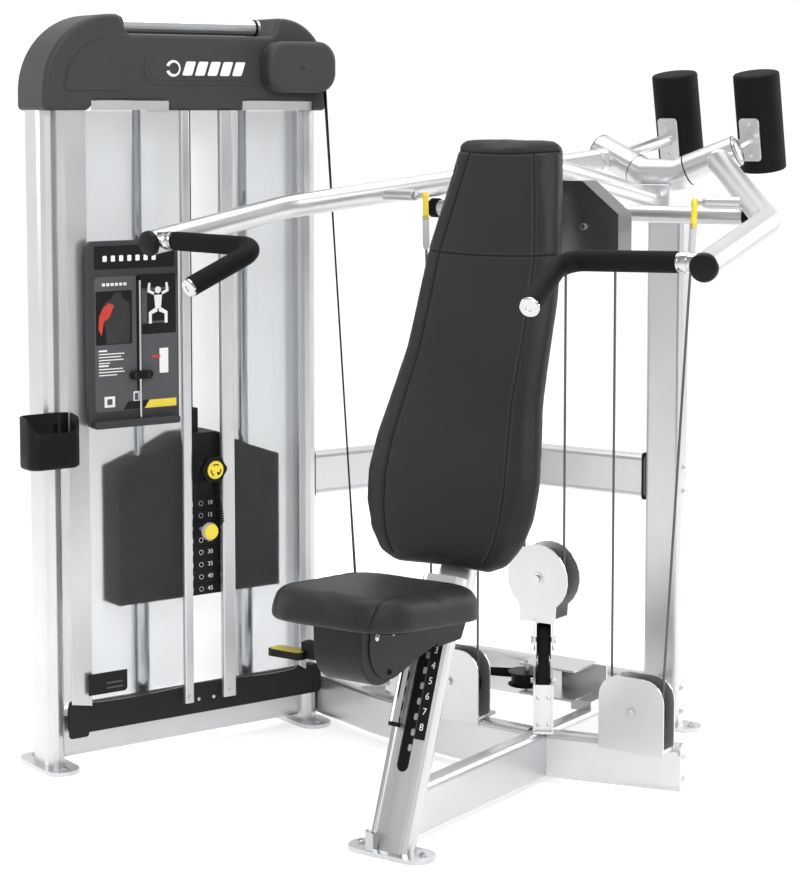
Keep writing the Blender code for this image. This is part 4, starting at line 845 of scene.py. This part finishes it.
def post_details():
    """Height numbers, a black sheet of painted shade inside the slot, and the gas spring's end fittings."""
    face = Vector((0, POST_FOOT_Y, 0)) - POST_BACK * (0.025 + 0.0007)

    def on_face(x, along):
        return face + X * x + POST_AXIS * along

    panel("height_strip", box_outline((0.016, 0.043), (0.245, 0.492)), face, X, POST_AXIS, 0.0012, BLACK,
          bevel=0.0004)
    for i in range(7):
        numeral(f"height_number_{i + 2}", str(i + 2), on_face(0.0295,
                                                              0.472 - i * HEIGHT_STEP) - POST_BACK * 0.0008,
                X, POST_AXIS, 0.0215)
    inner = [(a, b + 0.326) for a, b in rounded(0.0292, 0.307, 0.0145, 10)]
    # Black sheet set into the slot behind its notches: painted shade for the slot's depth.
    panel("slot_painted_shade", inner, face + POST_BACK * 0.005, X, POST_AXIS, 0.001, BLACK)
    for i in range(8):
        notch = [(a + 0.0075, b + 0.225 + i * HEIGHT_STEP) for a, b in rounded(0.009, 0.015, 0.004)]
        panel(f"slot_notch_{i}", notch, face + POST_BACK * 0.0042, X, POST_AXIS, 0.0008, STEEL)
    offset = X * -0.030 - POST_BACK * 0.042
    base = Vector((0, POST_FOOT_Y, 0)) + offset
    for along, radius in ((0.263, 0.0135), (0.440, 0.0132)):
        lathe(f"gas_ring_{int(along * 1000)}", [(0.0126, 0), (radius, 0.001), (radius, 0.008),
                                                (0.0126, 0.009)], base + POST_AXIS * along, POST_AXIS, BLACK,
              "seat", steps=32)
    hex_nut("gas_pin_nut", base + POST_AXIS * 0.034 - X * 0.0125, -X, 0.006, 0.004)


# ------------------------------------------------------------------ arms

def arm(label, side):
    """One press arm: hub, bent tube, plug, collar, grip, cable stub and counterweight."""
    body = f"{label}_press"
    hub = sided(HUB_AXIS, side)
    seam = sided(SEAM, side)
    made = [lathe(f"{label}_hub", [(0, 0.001), (0.0375, 0.001), (0.039, 0.0025), (0.039, 0.1335),
                                   (0.0375, 0.135), (0, 0.135)], seam, hub, SILVER, body)]
    lathe(f"{label}_hub_cap", [(0, 0.134), (0.03, 0.134), (0.0315, 0.1352), (0.0315, 0.1385), (0.029, 0.1405),
                               (0.009, 0.142), (0.0085, 0.14), (0, 0.14)], seam, hub, CHROME, body)
    drum(f"{label}_hub_seal", 0.0391, -0.0009, 0.0014, seam, hub, BLACK, body)
    drum(f"{label}_hub_rim", 0.0393, 0.1325, 0.1345, seam, hub, BLACK, body)
    path = [sided(p, side) for p in filleted([ARM_ROOT, ARM_BEND, ARM_END], 0.17, 16)]
    made.append(sweep(f"{label}_tube", path, circle(ARM_RADIUS, 40), SILVER, body))
    last = (path[-1] - path[-2]).normalized()
    lathe(f"{label}_plug", [(0, -0.004), (0.0287, -0.004), (0.0292, -0.001), (0.0292, 0.006),
                            (0.0265, 0.0105), (0.018, 0.013), (0, 0.0138)], path[-1], last, BLACK, body)
    start = path[0] + (path[1] - path[0]).normalized() * 0.047
    bead = [(0.0280, -0.004), (0.0305, -0.0015), (0.0310, 0), (0.0302, 0.002), (0.0280, 0.004)]
    lathe(f"{label}_weld_root", bead, start, path[1] - path[0], SILVER, body)

    weight_axis = (WEIGHT_LOW - WEIGHT_TOP).normalized()
    forward = weight_axis.cross(X).normalized()
    plate = WEIGHT_TOP + weight_axis * 0.163 + forward * 0.0633
    at = sided(plate, side)
    made.append(panel(f"{label}_weight_plate", rounded(0.055, 0.112, 0.01), at, X, weight_axis, 0.0058,
                      SILVER, body, bevel=0.0012))
    for end in (-1, 1):
        cap_screw(f"{label}_weight_screw_{end + 1}", at + weight_axis * end * 0.04 + forward * 0.003, forward,
                  0.0058, body)
    made.append(tube(f"{label}_weight_arm", sided(ARM_ROOT, side), at, 0.0155, SILVER, body))
    stub = [sided((x, EYE.y, EYE.z), side) for x in (0.505, 0.395, 0.375)]
    made.append(tube(f"{label}_stub", stub[0], stub[1], 0.0145, SILVER, body, bevel=0.0012))
    made.append(tube(f"{label}_stub_pin", stub[1], stub[2], 0.0068, STEEL, body, steps=24))
    hex_nut(f"{label}_stub_nut", sided((0.394, EYE.y, EYE.z), side), X * -side, 0.012, 0.009, body)
    inwards = (GRIP_BEND - GRIP_START).normalized()
    start, end = sided(GRIP_START - inwards * 0.060, side), sided(GRIP_START - inwards * 0.0003, side)
    made.append(tube(f"{label}_collar", start, end, 0.019, CHROME, body, steps=40, bevel=0.0015))
    lathe(f"{label}_collar_ring", [(0, 0.036), (0.0205, 0.036), (0.0212, 0.038), (0.0212, 0.052),
                                   (0.0205, 0.054), (0, 0.054)], start, end - start, CHROME, body)
    replace_node(f"{label}_arm", *made)

    grip = [sided(p, side) for p in filleted([GRIP_START, GRIP_BEND, GRIP_END], 0.045, 14)]
    foam = soft_tube(f"{label}_foam", grip, 0.0218, RUBBER, body)
    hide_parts(f"{label}_grip")
    last = (grip[-1] - grip[-2]).normalized()
    lathe(f"{label}_grip_cap", [(0, -0.001), (0.0185, -0.001), (0.0205, 0.0005), (0.0205, 0.0045),
                                (0.019, 0.0065), (0.007, 0.0072), (0.0065, 0.0055), (0, 0.0055)], grip[-1],
          last, CHROME, body)
    long = (WEIGHT_LOW - WEIGHT_TOP).length
    weight = lathe(f"{label}_weight_sleeve", [(0, 0), (0.052, 0), (0.0565, 0.001), (0.0588, 0.0035),
                                              (0.0598, 0.007), (0.0598, long - 0.007),
                                              (0.0588, long - 0.0035), (0.0565, long - 0.001), (0.052, long),
                                              (0, long)], sided(WEIGHT_TOP, side), weight_axis, RUBBER, body,
                   steps=72)
    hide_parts(f"{label}_counterweight")
    eye = sided(EYE, side)
    low = sided((FLOOR_X + PULLEY, CABLE_Y, FLOOR_Z), side)
    lathe(f"{label}_cable_sleeve", [(0, 0.058), (0.0078, 0.058), (0.0082, 0.06), (0.0082, 0.12),
                                    (0.006, 0.128), (0.0032, 0.131), (0, 0.131)], eye, low - eye, SLEEVE,
          f"{label}_cable_eye")
    drum(f"{label}_cable_nut", 0.009, 0.048, 0.0575, eye, low - eye, BRASSY, f"{label}_cable_eye", steps=6,
         angle=20)


def barrel_details():
    bend = SEAM - HUB_AXIS * 0.028
    barrel = sweep("barrel", [sided(SEAM, -1), sided(bend, -1), bend, SEAM], circle(0.039, 48), SILVER)
    spar = tube("spar", (0, -0.05, 1.357), (0, -0.68, 1.468), 0.025, SILVER, steps=40)
    stop = tube("stop_bar", (-0.44, -0.42, 1.342), (0.44, -0.42, 1.342), 0.02, SILVER, steps=40)
    neck = panel("stop_neck", box_outline((-0.02, 0.02), (1.345, 1.42)), (0, -0.42, 0), X, UP, 0.036, SILVER,
                 bevel=0.002)
    saddle = panel("saddle", box_outline((-0.085, 0.022), (1.3305, 1.4)), (0, 0, 0), Y, UP, 0.09, SILVER,
                   bevel=0.004)
    replace_node("pivot_frame", barrel, spar, stop, neck, saddle)
    for side in (-1, 1):
        cap_screw(f"saddle_screw_{side + 1}", (side * 0.03, 0.0222, 1.35), Y, 0.006)


# ------------------------------------------------------------------ pads

def inflate(piece, cap, freedom=None):
    """Cloth pressure fills the pad; no point moves further than cap, or than its own share of it."""
    remesh = piece.modifiers.new("remesh", "REMESH")
    remesh.mode = "VOXEL"
    remesh.voxel_size = 0.0058
    bake(piece)
    start = [v.co.copy() for v in piece.data.vertices]
    cloth = piece.modifiers.new("cloth", "CLOTH")
    cloth.settings.use_pressure = True
    cloth.settings.uniform_pressure_force = 4.0
    cloth.settings.effector_weights.gravity = 0
    cloth.settings.tension_stiffness = 40
    cloth.settings.compression_stiffness = 40
    cloth.settings.bending_stiffness = 4
    cloth.settings.quality = 4
    cloth.collision_settings.use_collision = False
    cloth.point_cache.frame_start = 1
    cloth.point_cache.frame_end = 20
    for step in range(1, 21):
        bpy.context.scene.frame_set(step)
    bake(piece)
    bpy.context.scene.frame_set(1)
    for v, was in zip(piece.data.vertices, start):
        move = v.co - was
        reach = cap * (freedom(was) if freedom else 1)
        if move.length > reach:
            v.co = was + move.normalized() * reach
    smooth = piece.modifiers.new("smooth", "SMOOTH")
    smooth.factor = 0.5
    smooth.iterations = 6
    bake(piece)


def bake(piece):
    """Replace the mesh with its evaluated result."""
    shown = piece.evaluated_get(bpy.context.evaluated_depsgraph_get())
    mesh = bpy.data.meshes.new_from_object(shown)
    piece.modifiers.clear()
    piece.data = mesh


def tree_of(piece):
    shape = bmesh.new()
    shape.from_mesh(piece.data)
    tree = BVHTree.FromBMesh(shape)
    shape.free()
    return tree


def project(tree, points, direction, lift=0.0):
    """Points cast onto the pad along a direction."""
    found = []
    for point in points:
        hit = tree.ray_cast(Vector(point) - direction * 0.3, direction)
        if hit[0] is not None:
            found.append(hit[0] - direction * lift)
    return found


def press_groove(piece, lines, reach, depth):
    """Sink the surface along seam lines."""
    shape = bmesh.new()
    shape.from_mesh(piece.data)
    shape.normal_update()
    points = [p for path in lines for p in path]
    near = KDTree(len(points))
    for i, p in enumerate(points):
        near.insert(p, i)
    near.balance()
    for v in shape.verts:
        _, _, away = near.find(v.co)
        if away < reach * 3:
            v.co -= v.normal * depth * math.exp(-(away / reach) ** 2)
    shape.to_mesh(piece.data)
    shape.free()


def stitch_row(name, path, direction, material, long=0.0042, pitch=0.0075):
    """Row of short stitches beside a seam."""
    verts, faces = [], []
    travelled, next_at = 0.0, pitch
    for a, b in zip(path, path[1:]):
        run = b - a
        if run.length < 1e-6:
            continue
        along = run.normalized()
        while next_at < travelled + run.length:
            mid = a + along * (next_at - travelled)
            w, h = along.cross(direction).normalized() * 0.0006, -direction * 0.0006
            base = len(verts)
            for t in (-0.5, -0.3, 0.3, 0.5):
                lift = 0.15 if abs(t) > 0.4 else 1.0
                centre = mid + along * long * t
                verts += [centre - w * lift, centre + h * lift, centre + w * lift, centre - h]
            for i in range(3):
                for k in range(4):
                    m = (k + 1) % 4
                    faces.append(tuple(base + i * 4 + j for j in (k, m, 4 + m, 4 + k)))
            faces += [tuple(base + k for k in range(4)), tuple(base + 12 + k for k in range(4))]
            next_at += pitch
        travelled += run.length
    return add(name, verts, faces, material)


def blend_table(rows, at):
    """Row interpolated smoothly at a height."""
    if at <= rows[0][0]:
        return rows[0]
    for i in range(len(rows) - 1):
        a, b = rows[i], rows[i + 1]
        if at <= b[0]:
            t = (at - a[0]) / (b[0] - a[0])
            return [x + (y - x) * t for x, y in zip(a, b)]
    return rows[-1]


BACK_ROWS = [(0.583, 0.120, -1.034, 0.050), (0.605, 0.170, -1.030, 0.068), (0.650, 0.205, -1.022, 0.075),
             (0.710, 0.226, -1.012, 0.075), (0.780, 0.232, -1.000, 0.075), (0.860, 0.223, -0.978, 0.075),
             (0.950, 0.206, -0.945, 0.075), (1.050, 0.194, -0.899, 0.075), (1.160, 0.190, -0.860, 0.075),
             (1.270, 0.182, -0.828, 0.075), (1.380, 0.163, -0.795, 0.075), (1.470, 0.146, -0.771, 0.075),
             (1.508, 0.138, -0.762, 0.068), (1.522, 0.120, -0.759, 0.050)]


def back_pad():
    """Upholstered back pad: crowned front, rounded ends, two long seams and two cross seams."""
    lean = math.radians(15)
    steps = 64
    low, high = BACK_ROWS[0][0] + 0.004, BACK_ROWS[-1][0] - 0.003
    rings = []
    for i in range(steps + 1):
        z = low + (high - low) * (0.5 - 0.5 * math.cos(math.pi * i / steps))
        _, half, y, thick = blend_table(BACK_ROWS, z)
        half, thick = half - 0.006, thick - 0.012
        ring = []
        for k in range(40):
            t = 2 * math.pi * k / 40
            c, s = math.cos(t), math.sin(t)
            power = 0.42
            a = half * math.copysign(abs(c) ** power, c)
            b = thick / 2 * math.copysign(abs(s) ** 0.55, s)
            if b < 0:
                b *= 1.0 - 0.10 * (a / half) ** 2
            ring.append(Vector((a, y + b * math.cos(lean), z - b * math.sin(lean))))
        rings.append(ring)
    pad = add("back_cushion", *stacked(rings), VINYL, None)
    inflate(pad, 0.0065)
    tree = tree_of(pad)
    lines = []
    for side in (-1, 1):
        points = []
        for i in range(150):
            z = 0.612 + (1.487 - 0.612) * i / 149
            _, half, y, thick = blend_table(BACK_ROWS, z)
            points.append((side * min(half - 0.058, 0.62 * half + 0.012), y, z))
        lines.append(project(tree, points, Y))
    for z in (1.262, 1.487):
        half = blend_table(BACK_ROWS, z)[1] - 0.012
        points = [(half * (2 * i / 79 - 1), -0.8, z + 0.006 * (2 * i / 79 - 1) ** 2) for i in range(80)]
        lines.append(project(tree, points, Y))
    dense = [line_fill(path) for path in lines]
    finer = pad.modifiers.new("finer", "SUBSURF")
    finer.levels = finer.render_levels = 1
    bake(pad)
    press_groove(pad, dense, 0.0042, 0.0030)
    pad.data.shade_smooth()
    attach(pad, "frame")
    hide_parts("back_pad")
    tree = tree_of(pad)
    for i, path in enumerate(lines):
        path = project(tree, path, Y, -0.0002)
        sweep(f"back_seam_{i}", path, circle(0.0011, 8), PIPING, up=UP if i > 1 else X)
        shifted = [a + (b - a).normalized().cross(Y).normalized() * 0.0055 for a, b in zip(path, path[1:])]
        shifted = project(tree, shifted, Y)
        stitch_row(f"back_stitch_{i}", shifted, Y, THREAD)


def line_fill(path):
    """Points no more than 2 mm apart along a path."""
    full = []
    for a, b in zip(path, path[1:]):
        count = max(1, int((b - a).length / 0.002))
        full += [a.lerp(b, i / count) for i in range(count)]
    return full + [path[-1]]


TILT = math.radians(4.5)
SEAT_FRONT = Vector((0, -1.50, 0.537))


def tilted(point):
    """Point of a level seat, turned with the seat about its lower front edge."""
    return Matrix.Rotation(-TILT, 3, "X") @ (Vector(point) - SEAT_FRONT) + SEAT_FRONT


def seat_pad():
    """Upholstered seat: crowned top, round corners, a firm lower rim and two seams."""
    middle = Vector((0, -1.30, 0))
    low, high = 0.541, 0.607
    rings = []
    profile = [(0.04, low), (0.006, low), (0.001, low + 0.004), (0, low + 0.02), (0.002, low + 0.036),
               (0.007, low + 0.05), (0.018, low + 0.06), (0.036, high - 0.001), (0.08, high + 0.0005),
               (0.12, high + 0.001)]
    for inset, z in profile:
        wide, long = 0.352 - 2 * inset, 0.392 - 2 * inset
        ring = [middle + Vector((a, b, z)) for a, b in rounded(wide, long, max(0.012, 0.098 - inset), 10)]
        for p in ring:
            p.x *= 1 + 0.06 * (p.y - middle.y) / 0.2
        rings.append([tilted(p) for p in ring])
    pad = add("seat_cushion", *stacked(rings), VINYL, None)
    inflate(pad, 0.004, lambda p: min(1, max(0, (p.z - tilted((0, p.y, low)).z - 0.012) / 0.03)))
    tree = tree_of(pad)
    seams = []
    for side in (-1, 1):
        x = side * 0.118
        rising = [(x * (1 + 0.05 * i / 19), -1.45, 0.5465 + 0.050 * i / 19) for i in range(20)]
        along = [(x * (1.05 + 0.08 * i / 99), -1.472 + 0.354 * i / 99, 0.60) for i in range(100)]
        seams.append(project(tree, rising, Y) + project(tree, along, -UP))
    finer = pad.modifiers.new("finer", "SUBSURF")
    finer.levels = finer.render_levels = 1
    bake(pad)
    press_groove(pad, [line_fill(seam) for seam in seams], 0.0032, 0.0013)
    pad.data.shade_smooth()
    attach(pad, "seat")
    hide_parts("seat_pad")
    tree = tree_of(pad)
    for i, seam in enumerate(seams):
        settled = [tree.find_nearest(p)[0] for p in seam]
        sweep(f"seat_seam_{i}", settled, circle(0.0007, 8), PIPING, "seat", up=X)


def seat_details():
    """Carriage cover with its screws and disc, board under the pad, and the lever's yellow top."""
    board = rounded(0.300, 0.330, 0.08, 10)
    panel("seat_board", board, tilted((0, -1.3, 0.5385)), X, tilted((0, -1, 0.537)) - tilted((0, -2, 0.537)),
          0.003, BLACK, "seat")
    for label, side in (("left", -1), ("right", 1)):
        plane = side * 0.0622
        outline = [(-1.401, 0.524)] + arc(-1.322, 0.488, 0.08, 165, 285, 20) + [(-1.155, 0.452),
                                                                                (-1.14, 0.506)]
        panel(f"carriage_cover_{label}", outline, (plane, 0, 0), Y, UP, 0.003, INK, "seat", bevel=0.0012,
              angle=20)
        face = side * 0.0638
        for i, (y, z) in enumerate(((-1.376, 0.506), (-1.316, 0.506), (-1.330, 0.424))):
            cap_screw(f"carriage_screw_{label}_{i}", (face, y, z), X * side, 0.0055, "seat",
                      BLACK if i == 2 else STEEL)

    def under(y):
        return y, 0.5365 - (y + 1.50) * math.tan(TILT)

    foot = 0.4605
    post_front = [POST_FOOT_Y + z * math.tan(LEAN) - 0.025 / math.cos(LEAN) - 0.002 for z in (foot, 0.503)]
    outline = [under(-1.43)] + arc(-1.35, 0.48, 0.079, 180, 285, 20) + [(post_front[0], foot),
                                                                        under(post_front[1])]
    shells = [panel("carriage_shell", outline, (0, 0, 0), Y, UP, 0.1215, INK, "seat", bevel=0.004, angle=25)]
    for side in (-1, 1):
        cheek = [under(-1.15), (-1.15, 0.440), (-1.055, 0.440), under(-1.020)]
        shells.append(panel(f"carriage_wing_{side + 1}", cheek, (side * 0.0565, 0, 0), Y, UP, 0.0096, INK,
                            "seat", bevel=0.002))
    replace_node("seat_carriage", *shells)
    panel("lever_top", rounded(0.08, 0.036, 0.01), (-0.138, -1.408, 0.461), X, Y, 0.0024, YELLOW, "lever",
          bevel=0.0008)


# ------------------------------------------------------------------ floor and light

def studio():
    floor = bpy.data.objects.new("floor", bpy.data.meshes.new("floor"))
    shape = bmesh.new()
    bmesh.ops.create_grid(shape, x_segments=1, y_segments=1, size=30)
    shape.to_mesh(floor.data)
    shape.free()
    bpy.context.collection.objects.link(floor)
    floor.location = (0, 0, -0.0006)
    pale = surface("pale_floor", (0.90, 0.90, 0.90), 0.60, tone=0.01, grain=40, depth=0.0, gloss=0.2)
    glow = pale.node_tree.nodes["Principled BSDF"]
    glow.inputs["Emission Color"].default_value = (1, 1, 1, 1)
    glow.inputs["Emission Strength"].default_value = 0.36
    floor.data.materials.append(pale)
    world = bpy.data.worlds.new("studio")
    bpy.context.scene.world = world
    world.use_nodes = True
    nodes, links = world.node_tree.nodes, world.node_tree.links
    sky = nodes["Background"]
    place = nodes.new("ShaderNodeTexCoord")
    facing = nodes.new("ShaderNodeVectorMath")
    facing.operation = "DOT_PRODUCT"
    facing.inputs[1].default_value = (-math.sin(math.radians(TURN)), math.cos(math.radians(TURN)), 0.25)
    links.new(place.outputs["Generated"], facing.inputs[0])
    share = nodes.new("ShaderNodeMapRange")
    share.inputs["From Min"].default_value = -1
    links.new(facing.outputs["Value"], share.inputs["Value"])
    wall = nodes.new("ShaderNodeValToRGB")
    walls = ((0.25, 0.74), (0.41, 0.42), (0.60, 0.48), (0.74, 1.0))
    while len(wall.color_ramp.elements) < len(walls):
        wall.color_ramp.elements.new(0.5)
    for stop, (spot, grey) in zip(wall.color_ramp.elements, walls):
        stop.position = spot
        stop.color = (grey, grey, grey, 1)
    links.new(share.outputs["Result"], wall.inputs["Fac"])
    links.new(wall.outputs["Color"], sky.inputs["Color"])
    sky.inputs["Strength"].default_value = 1.03
    for name, place, aim, wide, high, watts in (
            ("key", (3.4, -3.6, 4.2), (0, -0.6, 0.8), 2.6, 1.8, 160),
            ("fill", (-4.6, -3.6, 2.6), (-0.3, -0.6, 0.8), 2.0, 2.6, 70),
            ("top", (-0.4, -0.4, 4.6), (-0.4, -0.6, 0), 3.2, 3.2, 100),
            ("rim", (2.4, 3.6, 2.6), (0, -0.3, 0.9), 1.6, 2.4, 80)):
        lamp = bpy.data.objects.new(name, bpy.data.lights.new(name, "AREA"))
        lamp.data.shape = "RECTANGLE"
        lamp.data.size = wide
        lamp.data.size_y = high
        lamp.data.energy = watts
        lamp.location = place
        lamp.rotation_euler = (Vector(aim) - Vector(place)).to_track_quat("-Z", "Y").to_euler()
        bpy.context.collection.objects.link(lamp)
    bpy.context.scene.view_settings.view_transform = "Standard"


cover()
tower_details()
placard()
bottle_holder()
stack_details()
frame_details()
post_details()
for arm_label, arm_side in (("left", -1), ("right", 1)):
    arm(arm_label, arm_side)
barrel_details()
back_pad()
seat_pad()
seat_details()
studio()
